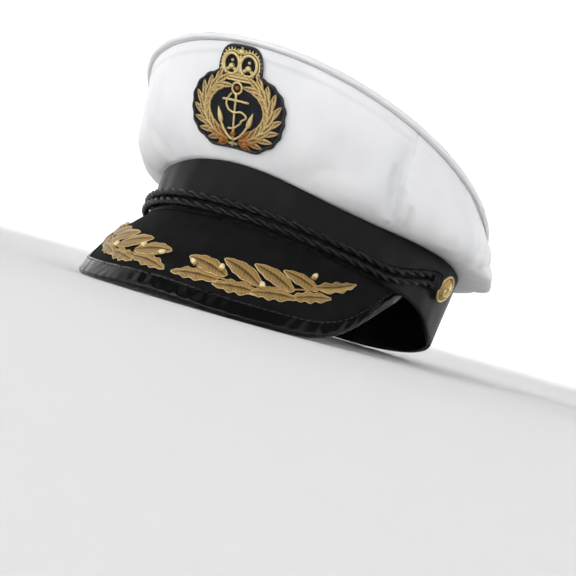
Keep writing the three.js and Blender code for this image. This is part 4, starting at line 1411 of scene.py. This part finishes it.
def stroke_distance(x: Array, y: Array, line: Array) -> Array:
    """Distance from places to a polyline: the least over its straight parts.

    Args:
        x: first coordinate of the places.
        y: second coordinate.
        line: points of the polyline.

    Returns:
        One distance for each place.
    """
    nearest = np.full(np.shape(x), np.inf)
    for a, b in zip(line[:-1], line[1:]):
        run = b - a
        share = np.clip(((x - a[0]) * run[0] + (y - a[1]) * run[1]) / max(run @ run, 1e-9), 0, 1)
        nearest = np.minimum(nearest, np.hypot(x - a[0] - share * run[0], y - a[1] - share * run[1]))
    return nearest


def arc_line(x: float, y: float, radius: float, start: float, end: float, count: int = 17) -> Array:
    """Points on an arc, its angles in degrees."""
    angle = np.radians(np.linspace(start, end, count))
    return np.stack([x + radius * np.cos(angle), y + radius * np.sin(angle)], 1)


@dataclass(frozen=True)
class Button:
    """Stamped gilt button: a corded edge round a dome with a small anchor in relief.

    It droops: it leans down on its shank by an angle.
    """

    side: Side
    height: float = 27.9
    droop: float = math.radians(13)
    face_share: float = 0.86
    shank: float = 2.0
    shank_start: float = 0.8
    lift: float = 2.4
    edge: float = 3.6
    dome: float = 6.4
    relief: float = 0.45
    grooves: int = 34
    groove_depth: float = 0.12
    rings: int = 54
    spokes: int = 132

    def anchor(self, x: Array, y: Array) -> Array:
        """Height of the anchor, from 0 on the ground to 1 on its ridges."""
        strokes = (
            (arc_line(0, 3.2, 0.95, 0, 360), 0.34),
            (np.array([[0.0, 2.3], [0.0, -3.7]]), 0.42),
            (np.array([[-2.1, 1.4], [2.1, 1.4]]), 0.36),
            (arc_line(0, -0.5, 3.3, 198, 342), 0.42),
            (np.array([[-3.4, -0.6], [-2.2, -1.4]]), 0.36),
            (np.array([[3.4, -0.6], [2.2, -1.4]]), 0.36),
        )
        far = [smoothstep(stroke_distance(x, y, line), 0.5 * width, 1.7 * width) for line, width in strokes]
        return 1 - np.min(far, axis=0)

    def build(self) -> None:
        """The button as rings from the shank out to the edge and in over the dome."""
        inner = FORM.button_radius * self.face_share
        thick = (FORM.button_radius - inner) / 2
        foot, lift = self.shank_start, self.lift
        back = [(0.02, foot), (self.shank, foot), (self.shank, lift), (FORM.button_radius - 0.4, lift)]
        roll = np.linspace(-np.pi / 2, np.pi, 12)
        ring = np.stack([inner + thick * (1 + np.cos(roll)), lift + 0.5 + thick * (1 + np.sin(roll))], 1)
        radii = np.linspace(inner, 0.02, self.rings)
        levels = self.edge - 0.5 + (self.dome - self.edge) * (1 - (radii / inner) ** 2)
        profile = np.concatenate([back, ring, np.stack([radii, levels], 1)])
        row = np.arange(len(profile))[:, None]
        on_face = row >= len(back) + len(roll)
        on_edge = (row >= len(back) + 2) & ~on_face
        angle = np.linspace(0, 2 * np.pi, self.spokes, endpoint=False)
        r, a = np.meshgrid(profile[:, 0], angle, indexing="ij")
        x, y = r * np.cos(a), r * np.sin(a)
        raised = self.anchor(x, y) * on_face
        rope = np.cos(self.grooves * a)
        h = profile[:, 1:] + self.relief * raised + self.groove_depth * rope * on_edge
        shade = np.where(on_face, 0.75 * (1 - raised), 0.15 + 0.2 * (rope < 0) * on_edge)
        turn = np.array(self.side.value * FORM.button_turn)
        out = unit(FORM.band_out(turn) - UP * math.tan(self.droop))
        seat = FORM.band_at(turn, self.height)
        across = unit(np.cross(UP, out))
        points = seat + x[..., None] * across + y[..., None] * np.cross(out, across) + h[..., None] * out
        name = "button_" + self.side.name.lower()
        Piece(name + "_gilt", [loft(points, False, shade)], GILT, (name,)).build()


@dataclass(frozen=True)
class Stitch:
    """A padded strip of embroidery: its height in the middle, its underside's height, and its grain.

    across is the number of points across its face, and along the number of points along a dome. vein is
    the depth of the middle groove as a share of the height, and vein_width its width as a share of the
    strip's. ridges is the height of the stitches, and pitch their distance. The last field is painted
    shade: how much darker the right half is, seen along the strip, as if lit from its left.
    """

    crown: float
    base: float = 0.0
    across: int = 13
    along: int = 14
    vein: float = 0.0
    vein_width: float = 0.16
    ridges: float = 0.0
    pitch: float = 1.15
    # painted shade on the strip's right half, seen along it
    painted_half_shade: float = 0.0


def laid_strip(line: Array, half: Array, stitch: Stitch, chart: Chart, warmth: float = 0.0) -> Patch:
    """A padded strip of embroidery on a chart.

    The strip follows a flat line. Its height is the crown times the root of one minus the share across
    it to the power 2.6, less a bell-shaped groove for the vein. Ridges are cosines of the length along
    the strip plus the distance from its middle, so that the stitches slant.

    Args:
        line: points of the middle line in the chart.
        half: half the width at each point.
        stitch: the strip's padding and grain.
        chart: takes x, y and height to the wearing frame.
        warmth: reddening of the finish.

    Returns:
        The closed patch, with its shade from the vein, painted shade at its very edges and painted shade on
        its right half.
    """
    side = left_of(travel(line, False))
    t = np.sin(np.pi / 2 * np.linspace(-1, 1, stitch.across))
    run = run_length(line)[:, None]
    dome = (1 - np.abs(t) ** 2.6) ** 0.5
    bell = np.exp(-((t / stitch.vein_width) ** 2))
    ends = np.sqrt(np.clip(half / half.max(), 0, 1))[:, None]
    slanted = run + 0.7 * np.abs(t) * half[:, None]
    grain = stitch.ridges * np.cos(2 * np.pi * slanted / stitch.pitch) * dome
    height = stitch.base + (stitch.crown * dome * (1 - stitch.vein * bell) + grain) * ends
    place = line[:, None] + side[:, None] * (half[:, None] * t)[..., None]
    low = np.broadcast_to(stitch.base, height.shape)
    top = chart(place[..., 0], place[..., 1], height)
    under = chart(place[..., 0], place[..., 1], low)
    # Painted shade: darker at the strip's very edges, and on its right half as if lit from its left. The bell
    # darkens the vein.
    dark = 0.85 * bell * (stitch.vein > 0) + 0.35 * np.abs(t) ** 8 + stitch.painted_half_shade * smoothstep(-t, -0.1, 0.1)
    dark = np.broadcast_to(dark, height.shape)
    shade = np.concatenate([dark, dark[:, ::-1]], 1)
    return loft(np.concatenate([top, under[:, ::-1]], 1), False, shade, warmth)


def laid_dome(centre: Array, arm: Array, half: float, end: float, stitch: Stitch, chart: Chart) -> Patch:
    """A dome of thread: a short strip whose half width is the root of one minus the share squared.

    Args:
        centre: the dome's middle in the chart.
        arm: from the middle to the strip's end.
        half: half the width in the middle.
        end: half the width that is left at the ends.
        stitch: the dome's padding.
        chart: takes x, y and height to the wearing frame.

    Returns:
        The closed patch.
    """
    share = np.linspace(-0.985, 0.985, stitch.along)
    return laid_strip(centre + share[:, None] * arm, half * np.sqrt(1 - share**2) + end, stitch, chart)


def laid_wire(line: Array, radius: float, chart: Chart, base: Array | float, closes: bool = False) -> Patch:
    """A round thread laid along a flat line on a chart: circles that stand on the line.

    Args:
        line: points of the thread's line in the chart.
        radius: half the thread's thickness.
        chart: takes x, y and height to the wearing frame.
        base: height that the thread lies on, one or one for each point.
        closes: whether the line is a loop.

    Returns:
        The closed patch.
    """
    angle = np.linspace(0, 2 * np.pi, 12, endpoint=False)[:, None]
    place = line[:, None] + left_of(travel(line, closes))[:, None] * (radius * np.cos(angle))
    height = np.reshape(base, (-1, 1)) + radius * (1 + np.sin(angle[:, 0]))
    return loft(chart(place[..., 0], place[..., 1], np.broadcast_to(height, place.shape[:2])), closes)


@dataclass(frozen=True)
class Oval:
    """Oval with full corners: half its width, its reach up and down, and the power that fills them."""

    half_width: float
    reach: float
    power: float

    def distance(self, angle: Array) -> Array:
        """Distance from the centre to the edge.

        The two directions' shares of their reaches are raised to the power and added, and the distance is
        one over the sum's root.
        """
        level = np.abs(np.cos(angle)) / self.half_width
        upright = np.abs(np.sin(angle)) / self.reach
        return (level**self.power + upright**self.power) ** (-1 / self.power)


@dataclass(frozen=True)
class LeafRow:
    """A row of the wreath's leaves: lean from the branch in degrees, size, and lift over the felt."""

    lean: float
    length: float
    width: float
    lift: float


@dataclass(frozen=True)
class Badge:
    """Embroidered badge on the crown's front: a wreath round an anchor, with a small crown on top.

    Places are millimetres from the badge's middle, level and up the cloth.
    """

    centre_turn: float = math.radians(1.75)
    centre_rise: float = 0.53
    turn_radius: float = 98.0
    backing: float = 1.1
    centre_y: float = -4.7
    body: Oval = Oval(29.0, 20.2, 2.6)
    head: Oval = Oval(12.8, 33.4, 4.5)
    foot: Oval = Oval(20.5, 20.2, 7.0)
    scallop: float = 0.3
    wreath_radii: tuple[float, float] = (20.8, 16.4)
    wreath_angles: tuple[float, float] = (-80.0, 62.0)
    stations: int = 9
    rows: tuple[LeafRow, ...] = (
        LeafRow(-29, 11.0, 3.1, 0.0), LeafRow(34, 11.8, 3.1, 0.15), LeafRow(2, 11.6, 3.0, 0.5),
    )
    leaf_margin: float = 1.5
    tie_y: float = -22.2
    nap: float = 0.15
    edge_wire: float = 0.85
    edge_inset: float = 0.8
    wire: float = 0.66
    light_wire: float = 0.6
    rope_wire: float = 0.52
    ring_y: float = 6.6
    ring_radius: float = 2.9
    shank_top: float = 3.8
    shank_length: float = 23.6
    stock_half: float = 8.2
    stock_y: float = 0.4
    arms: Drawn = (
        (-9.9, -9.0), (-8.2, -13.2), (-4.6, -17.6), (0.0, -19.8), (4.6, -17.6), (8.2, -13.2), (9.9, -9.0),
    )
    rope: Drawn = (
        (-2.6, 3.7), (-4.1, 2.0), (-5.5, -1.4), (-3.5, -4.6), (0.8, -5.6), (4.1, -4.9), (7.1, -5.8),
        (7.9, -7.4), (5.3, -9.3), (4.6, -10.9), (0.8, -13.6), (-3.5, -14.2),
    )
    fluke_foot: tuple[float, float] = (8.9, -12.4)
    fluke_run: tuple[float, float] = (2.4, 8.4)
    crown_edges: tuple[float, float] = (10.9, 13.9)
    crown_half: float = 8.6
    window: tuple[float, float] = (4.9, 18.6)
    window_radii: tuple[float, float] = (4.5, 5.3)
    window_wire: float = 0.78
    border_radii: tuple[float, float] = (5.9, 6.7)
    border_wire: float = 0.42
    stroke_radii: tuple[float, float] = (6.1, 6.9)
    stroke_length: float = 1.3
    stroke_wire: float = 0.38
    strokes: int = 11
    pearls: Drawn = ((0.0, -1.3, 1.6), (-2.0, -2.7, 1.0), (2.0, -2.7, 1.0), (0.0, 1.7, 0.8))
    panel_length: float = field(
        default_factory=lambda: float(np.linalg.norm(FORM.crown(0.0, 0.0) - FORM.crown(0.0, 1.0)))
    )

    @property
    def base(self) -> float:
        """Height at which the threads are laid: a little down in the felt's nap."""
        return self.backing - self.nap

    def chart(self, x: Array, y: Array, height: Array) -> Array:
        """Lays flat places on the crown's front, at a height along its normal."""
        turn = self.centre_turn + x / self.turn_radius
        rise = self.centre_rise + y / self.panel_length
        turn, rise, height = np.broadcast_arrays(turn, rise, height)
        normal = normal_of(FORM.crown, turn, rise, level_out(turn))
        return FORM.crown(turn, rise) + normal * (FORM.gap + height)[..., None]

    def reach(self, angle: Array) -> Array:
        """Reach of the felt from its centre: the outermost of its ovals.

        The head only counts upwards and the foot only downwards. The body's edge is scalloped by the
        stitches.
        """
        up = np.sin(angle) > 0
        body = self.body.distance(angle)
        other = np.where(up, self.head.distance(angle), self.foot.distance(angle))
        return np.maximum(body, other) + self.scallop * np.cos(26 * angle) * (body > other)

    def felt(self) -> None:
        """The felt ground, and the black stitched edge round it."""
        angle = np.linspace(0, 2 * np.pi, 300, endpoint=False)
        reach = self.reach(angle)
        inset = np.concatenate([[0.0, 0.01, 0.03], np.linspace(0.06, 0.999, 26)])
        distance = reach[:, None] * (1 - inset)
        x = distance * np.cos(angle)[:, None]
        y = self.centre_y + distance * np.sin(angle)[:, None]
        rounding = 0.5 * np.clip(1 - inset / 0.03, 0, 1) ** 2
        top = self.chart(x, y, self.backing - 0.3 - rounding + 0 * x)
        under = self.chart(x, y, 0.02 + 0 * x)
        patch = loft(np.concatenate([top, under[:, ::-1]], 1), True)
        Piece("badge_felt", [patch], FELT, ("badge_backing",)).build()
        drawn_in = reach - self.edge_inset
        line = np.stack([drawn_in * np.cos(angle), self.centre_y + drawn_in * np.sin(angle)], 1)
        border = laid_wire(line, self.edge_wire, self.chart, 0.05, True)
        Piece("badge_edge_stitch", [border], BORDER).build()

    def curve(self, share: Array) -> Array:
        """The wreath's middle line on the wearer's left, from the bottom to the top."""
        start, end = self.wreath_angles
        angle = np.radians(start + (end - start) * share)
        x = self.wreath_radii[0] * np.cos(angle)
        return np.stack([x, self.centre_y + self.wreath_radii[1] * np.sin(angle)], -1)

    def leaf(self, foot: Array, angle: float, row: LeafRow, warmth: float) -> Patch:
        """A slender laurel leaf with pale edges and a dark middle.

        Half its width is a sine of the share along it, which is fullest a little to the foot. A leaf
        whose tip would pass the felt's stitched edge is shorter by as much.

        Args:
            foot: where it leaves the branch.
            angle: its direction in the chart, in radians.
            row: its size and lift.
            warmth: reddening of the thread.

        Returns:
            The closed patch.
        """
        share = np.linspace(0, 1, 16)
        way = np.array([math.cos(angle), math.sin(angle)])
        x, y = foot + row.length * way - (0.0, self.centre_y)
        passed = math.hypot(x, y) - float(self.reach(np.array(math.atan2(y, x)))) + self.leaf_margin
        line = foot + share[:, None] * (row.length - max(passed, 0.0)) * way
        half = 0.12 + row.width / 2 * np.sin(np.pi * share**0.85) ** 0.8
        stitch = Stitch(crown=1.0, base=self.backing - 0.2 + row.lift, vein=0.5, vein_width=0.42)
        return laid_strip(line, half, stitch, self.chart, warmth)

    def wreath(self) -> None:
        """Two branches with three rows of leaves, and the tie at the bottom."""
        patches = []
        for side in Side:
            for station in range(self.stations):
                share = station / self.stations
                foot, ahead = self.curve(np.array(share)), self.curve(np.array(share + 0.02))
                heading = math.atan2(ahead[1] - foot[1], ahead[0] - foot[0])
                warmth = 0.9 * max(0.0, 1 - share / 0.22)
                for row in self.rows:
                    angle = heading + math.radians(row.lean)
                    turned = angle if side is Side.LEFT else math.pi - angle
                    patches.append(self.leaf(foot * (side.value, 1), turned, row, warmth))
        Piece("badge_wreath_leaves", patches, LAUREL_LEAF, ("badge_wreath",)).build()
        width = np.linspace(-1, 1, 12)
        tie = np.stack([3.4 * width, np.full(12, self.tie_y)], 1)
        knot = np.stack([1.3 * width, np.full(12, self.tie_y)], 1)
        half = 1.4 * np.sqrt(np.clip(1 - (0.99 * width) ** 2, 0, 1)) + 0.05
        patches = [
            laid_strip(tie, np.full(12, 0.7), Stitch(crown=1.0, base=self.base), self.chart),
            laid_strip(knot, half, Stitch(crown=1.8, base=self.base), self.chart),
        ]
        Piece("badge_tie_thread", patches, TIE_THREAD).build()

    def anchor(self) -> None:
        """The anchor of couched thread: ring, shank, stock, arms with flukes, and a rope round it."""
        share = np.linspace(0, 1, 14)[:, None]
        ring = arc_line(0, self.ring_y, self.ring_radius, 0, 360, 41)[:-1]
        shank = np.array([0.0, self.shank_top]) - share * np.array([0.0, self.shank_length])
        stock = np.array([-self.stock_half, self.stock_y]) + share * np.array([2 * self.stock_half, 0.0])
        arms = spline(self.arms, 44)
        rope = spline(self.rope, 110)
        over = self.base + 0.8 + 0.4 * np.exp(-((rope[:, 0] / 1.6) ** 2))
        patches = [
            laid_wire(ring, self.light_wire, self.chart, self.base, True),
            laid_wire(shank, self.wire, self.chart, self.base),
            laid_wire(stock, self.light_wire, self.chart, self.base + 0.25),
            laid_wire(arms, self.wire, self.chart, self.base),
            laid_wire(rope, self.rope_wire, self.chart, over),
        ]
        for side in Side:
            blade = (np.array(self.fluke_foot) + share * np.array(self.fluke_run)) * (side.value, 1)
            half = 0.15 + 1.45 * np.sin(np.pi * share[:, 0] ** 0.6) ** 0.9
            patches.append(laid_strip(blade, half, Stitch(crown=1.5, base=self.base), self.chart))
        Piece("badge_anchor_thread", patches, GOLD_WIRE, ("badge_anchor",)).build()
        patches = [self.bead(0.0, self.ring_y, 1.3), self.bead(-0.2, -17.0, 1.7)]
        patches += [self.bead(side.value * 8.4, -21.4, 2.0) for side in Side]
        Piece("badge_warm_padding", patches, WARM_PADDING).build()

    def small_crown(self) -> None:
        """The small crown: a base band, two round windows, short stitches round them, and an orb."""
        level = np.linspace(-1, 1, 24)
        bow = 0.4 * (1 - level**2)
        edges = [np.stack([level * self.crown_half, height - bow], 1) for height in self.crown_edges]
        patches = [laid_wire(edge, 0.5, self.chart, self.base) for edge in edges]
        band = np.stack([level * (self.crown_half - 0.6), sum(self.crown_edges) / 2 - bow], 1)
        strip = Stitch(crown=0.6, base=self.base)
        patches.append(laid_strip(band, np.full(24, 0.95), strip, self.chart, 0.4))
        upright = np.stack([0 * level[:10], np.linspace(13.8, 23.2, 10)], 1)
        patches.append(laid_wire(upright, 0.62, self.chart, self.base))
        for side in Side:
            centre = np.array(self.window) * (side.value, 1)
            around = np.linspace(-64, 244, 44)
            way = np.stack([np.cos(np.radians(around)), np.sin(np.radians(around))], 1) * (side.value, 1)
            frame_line = centre + way * self.window_radii
            patches.append(laid_wire(frame_line, self.window_wire, self.chart, self.base))
            border = centre + way[4:28] * self.border_radii
            patches.append(laid_wire(border, self.border_wire, self.chart, self.base))
            for angle in np.radians(np.linspace(-38, 112, self.strokes)):
                out = np.array([side.value * math.cos(angle), math.sin(angle)])
                reach = np.linspace(0, self.stroke_length, 6)[:, None] * out
                stroke = centre + out * self.stroke_radii + reach
                patches.append(laid_wire(stroke, self.stroke_wire, self.chart, self.base))
            for x, y, radius in self.pearls:
                patches.append(self.bead(centre[0] + side.value * x, centre[1] + y, radius))
        patches.append(self.bead(0.0, 25.0, 1.7))
        patches.append(self.bead(0.0, 27.0, 0.6))
        Piece("badge_crown_thread", patches, GOLD_WIRE, ("badge_crown",)).build()

    def bead(self, x: float, y: float, radius: float) -> Patch:
        """A small round dome of thread."""
        stitch = Stitch(crown=1.05 * radius, base=self.base, across=7, along=9)
        return laid_dome(np.array([x, y]), np.array([radius, 0.0]), radius, 0.03, stitch, self.chart)

    def build(self) -> None:
        """All of the badge's pieces."""
        self.felt()
        self.wreath()
        self.anchor()
        self.small_crown()


@dataclass(frozen=True)
class OakLeaf:
    """One leaf: shares along the half peak and across it at its foot and tip, and its width in mm.

    lobe is the depth of its lobes as a share of its width.
    """

    along: float
    across: float
    tip_along: float
    tip_across: float
    width: float
    lobe: float


@dataclass(frozen=True)
class OakSpray:
    """Embroidered oak spray on one half of the peak: lobed leaves, acorns and a stem.

    The right side mirrors the left about the share mirror_along.
    """

    side: Side
    chart_length: float = 125.0
    mirror_along: float = 0.0225
    lobes: float = 3.6
    outline: float = 0.27
    stem_radius: float = 0.5
    leaves: tuple[OakLeaf, ...] = (
        OakLeaf(0.24, 0.66, 0.07, 0.58, 9.6, 0.07),
        OakLeaf(0.22, 0.73, 0.04, 0.79, 8.4, 0.16),
        OakLeaf(0.37, 0.65, 0.205, 0.49, 9.6, 0.05),
        OakLeaf(0.38, 0.73, 0.21, 0.78, 9.0, 0.17),
        OakLeaf(0.49, 0.6, 0.32, 0.44, 9.4, 0.05),
        OakLeaf(0.51, 0.67, 0.345, 0.75, 9.0, 0.16),
        OakLeaf(0.58, 0.5, 0.43, 0.4, 8.6, 0.06),
        OakLeaf(0.64, 0.55, 0.49, 0.68, 8.6, 0.18),
        OakLeaf(0.56, 0.48, 0.73, 0.26, 9.4, 0.18),
    )
    acorns: tuple[tuple[float, float, float], ...] = (
        (0.1, 0.63, 150), (0.213, 0.596, 100), (0.378, 0.644, 110), (0.55, 0.342, 80),
    )
    stem: tuple[tuple[float, float], ...] = ((0.16, 0.71), (0.3, 0.69), (0.46, 0.6), (0.6, 0.47))

    def place(self, along: float, across: float) -> Array:
        """A place in the flat chart, in millimetres from the peak's middle and from the band."""
        return np.array([along * self.chart_length, across * self.depth()])

    def depth(self) -> float:
        """The peak's depth in its middle."""
        return float(FORM.peak_length(np.array(0.0)))

    def chart(self, x: Array, y: Array, height: Array) -> Array:
        """Lays flat places on the peak, mirrored for the right side."""
        along = self.mirror_along + self.side.value * (x / self.chart_length - self.mirror_along)
        return FORM.peak_point(along, y / self.depth(), FORM.gap * 0.3 + height)

    def leaf(self, leaf: OakLeaf, base: float) -> tuple[Patch, Patch]:
        """A lobed leaf: its half width is a sine bow times a cosine that makes the lobes.

        The lobes grow closer towards the tip, since the cosine's angle goes with the share's square.

        Args:
            leaf: its places and width.
            base: height of its underside over the peak.

        Returns:
            The leaf, and the pale thread that is laid round it.
        """
        share = np.linspace(0, 1, 52)
        foot, tip = self.place(leaf.along, leaf.across), self.place(leaf.tip_along, leaf.tip_across)
        run = tip - foot
        bend = 0.05 * np.sin(np.pi * share)[:, None] * np.array([-run[1], run[0]])
        line = foot + share[:, None] * run + bend
        body = np.sin(np.pi * np.clip(share * 0.92 + 0.06, 0, 1)) ** 0.8
        wave = np.cos(2 * np.pi * self.lobes * (0.7 * share + 0.3 * share**2) - 0.6 + 9 * leaf.along)
        half = 0.1 + leaf.width / 2 * body * (1 - leaf.lobe * (1 + wave))
        # painted shade darkens each leaf's half away from the band, as if lit from the band's side
        padding = Stitch(crown=1.5, base=base, across=17, vein=0.5, vein_width=0.15, ridges=0.035, painted_half_shade=0.3)
        side = left_of(travel(line, False)) * (half - 0.15)[:, None]
        edge = np.concatenate([line + side, (line - side)[::-1]])
        outline = laid_wire(edge, self.outline, self.chart, base + 0.1, True)
        return laid_strip(line, half, padding, self.chart), outline

    def acorn(self, along: float, across: float, angle: float) -> tuple[Patch, Patch]:
        """A plump nut in a shallow cup, as two domes.

        Args:
            along: share along the half peak.
            across: share of the peak's depth.
            angle: where the nut points in the chart, in degrees from x towards the band.

        Returns:
            The nut and the cup.
        """
        centre = self.place(along, across)
        way = np.array([math.cos(math.radians(angle)), -math.sin(math.radians(angle))])
        nut = Stitch(crown=1.5, base=0.9, across=11)
        cup = Stitch(crown=1.4, base=0.8, across=11)
        return (
            laid_dome(centre, 2.1 * way, 1.35, 0.04, nut, self.chart),
            laid_dome(centre - 1.9 * way, 0.9 * way, 1.5, 0.04, cup, self.chart),
        )

    def build(self) -> None:
        """The leaves from the outer end inwards, the stem, the cups, the nuts and the pale outlines."""
        side = self.side.name.lower()
        leaves, outlines = zip(*(self.leaf(leaf, 0.12 * (i % 3)) for i, leaf in enumerate(self.leaves)))
        stem = spline(np.stack([self.place(*knot) for knot in self.stem]), 30)
        nuts, cups = zip(*(self.acorn(*row) for row in self.acorns))
        patches = [*leaves, laid_wire(stem, self.stem_radius, self.chart, 0.1), *cups]
        Piece(f"oak_spray_{side}_leaves", patches, OAK_LEAF, (f"oak_spray_{side}",)).build()
        Piece(f"oak_spray_{side}_outlines", [*outlines], PALE_EDGE).build()
        Piece(f"oak_spray_{side}_acorns", [*nuts], CREAM).build()


# Studio


@dataclass(frozen=True)
class SoftBox:
    """An area light: where it stands, where it points, its size in metres and its power in watts."""

    name: str
    place: Vector | tuple[float, float, float]
    size: tuple[float, float]
    watts: float
    aim: Vector | tuple[float, float, float] = (0.0, 0.0, 0.07)


@dataclass(frozen=True)
class Studio:
    """Pale floor that curves up to a wall all round, soft lights, and the camera. Lengths in metres."""

    floor_radius: float = 2.4
    cove: float = 1.2
    wall: float = 2.2
    floor_sides: int = 96
    ambient: float = 0.2
    lights: tuple[SoftBox, ...] = (
        SoftBox("key", (-0.85, -1.25, 0.7), (0.6, 0.6), 2.3),
        SoftBox("low", (0.3, -1.5, 0.2), (1.2, 0.35), 2.4),
        SoftBox("top", (-0.3, -0.3, 1.7), (1.3, 1.3), 1.7),
        SoftBox("glint", (-0.5, -1.1, 0.9), (0.5, 0.05), 1.2),
    )
    backdrop_count: int = 6
    backdrop_watts: float = 26.0
    backdrop_radius: float = 1.6
    backdrop_height: float = 1.7
    backdrop_size: tuple[float, float] = (1.0, 0.5)
    backdrop_aim: float = 0.6
    azimuth: float = math.radians(28.8)
    camera_height: float = 0.02
    distance: float = 0.8
    roll: float = math.radians(15.7)
    view: float = math.radians(24.0)
    sensor: float = 36.0
    target: tuple[float, float, float] = (0.0, 0.0, 30.0)
    target_pixel: tuple[float, float] = (304.0, 247.0)
    image: float = 576.0

    def floor(self) -> None:
        """The floor: a profile of a flat disc, a quarter circle and a wall, turned round the middle."""
        angle = np.linspace(0, np.pi / 2, 14)
        radius = np.concatenate([[0.001, 0.3, 0.8, 1.6], self.floor_radius + self.cove * np.sin(angle)])
        height = np.concatenate([np.zeros(4), self.cove * (1 - np.cos(angle))])
        radius, height = np.append(radius, radius[-1]), np.append(height, height[-1] + self.wall)
        turn = np.linspace(0, 2 * np.pi, self.floor_sides, endpoint=False)[:, None]
        points = np.stack([radius * np.cos(turn), radius * np.sin(turn), height + 0 * turn], -1)
        sides, rows = np.arange(self.floor_sides), len(radius)
        i, j = (a.ravel() for a in np.meshgrid(sides, np.arange(rows - 1), indexing="ij"))
        here, after = i * rows + j, (i + 1) % self.floor_sides * rows + j
        quads = np.stack([after, after + 1, here + 1, here], 1)
        made = add_mesh("floor", points.reshape(-1, 3), quads, FLOOR)

    def light(self) -> None:
        """The soft boxes, the even light of the room, and a ring of lamps that face the wall."""
        for box in self.lights + self.backdrops():
            data = bpy.data.lights.new(box.name, "AREA")
            data.shape = "RECTANGLE"
            data.size, data.size_y = box.size
            data.energy = box.watts
            lamp = bpy.data.objects.new(box.name, data)
            lamp.location = box.place
            lamp.rotation_euler = (Vector(box.aim) - Vector(box.place)).to_track_quat("-Z", "Y").to_euler()
            bpy.context.scene.collection.objects.link(lamp)
        world = bpy.data.worlds.new("room")
        world.use_nodes = True
        background = world.node_tree.nodes["Background"]
        background.inputs["Color"].default_value = (1.0, 1.0, 1.0, 1.0)
        background.inputs["Strength"].default_value = self.ambient
        bpy.context.scene.world = world
        bpy.context.scene.view_settings.view_transform = "Standard"

    def backdrops(self) -> tuple[SoftBox, ...]:
        """Lamps that stand in a ring round the cap with their backs to it, aimed at the wall's foot."""
        boxes = []
        for i in range(self.backdrop_count):
            turn = 2 * math.pi * (i + 0.5) / self.backdrop_count
            way = Vector((math.cos(turn), math.sin(turn), 0.0))
            place = way * self.backdrop_radius + Vector((0.0, 0.0, self.backdrop_height))
            aim = way * (self.floor_radius + self.cove) + Vector((0.0, 0.0, self.backdrop_aim))
            boxes.append(SoftBox(f"backdrop_{i}", place, self.backdrop_size, self.backdrop_watts, aim))
        return tuple(boxes)

    def camera(self) -> None:
        """The camera at the photograph's side of the cap and its roll, just above the floor.

        It is aimed so that the target lies at its pixel: the aim is moved from the target by the
        pixel's distance from the picture's middle, times the distance over the focal length in pixels.
        """
        target = Vector(REST.place(np.array(self.target)))
        level = Vector((math.sin(self.azimuth), -math.cos(self.azimuth), 0.0))
        place = target + level * self.distance
        place.z = self.camera_height
        focal = self.image / 2 / math.tan(self.view / 2)
        back = (place - target).normalized()
        right, up = self.rolled(back)
        scale = (place - target).length / focal
        x = (self.image / 2 - self.target_pixel[0]) * scale
        y = (self.target_pixel[1] - self.image / 2) * scale
        back = (place - (target + right * x + up * y)).normalized()
        right, up = self.rolled(back)
        data = bpy.data.cameras.new("camera")
        data.sensor_width = self.sensor
        data.lens = self.sensor / 2 / math.tan(self.view / 2)
        data.clip_start = 0.01
        made = bpy.data.objects.new("camera", data)
        made.matrix_world = Matrix.Translation(place) @ Matrix((right, up, back)).transposed().to_4x4()
        bpy.context.scene.collection.objects.link(made)
        bpy.context.scene.camera = made

    def rolled(self, back: Vector) -> tuple[Vector, Vector]:
        """The picture's right and up for a direction to the camera, after the roll."""
        right = Vector((0.0, 0.0, 1.0)).cross(back).normalized()
        up = back.cross(right)
        cosine, sine = math.cos(self.roll), math.sin(self.roll)
        return right * cosine + up * sine, up * cosine - right * sine

    def build(self) -> None:
        """Floor, lights and camera."""
        self.floor()
        self.light()
        self.camera()


def main() -> None:
    """Builds every sub-assembly."""
    logging.basicConfig(level=logging.INFO, format="%(name)s: %(message)s")
    Studio().build()
    HeadBand().build()
    Crown().build()
    Peak().build()
    ChinCords().build()
    Badge().build()
    for side in Side:
        Button(side).build()
        OakSpray(side).build()


if __name__ == "__main__":
    main()
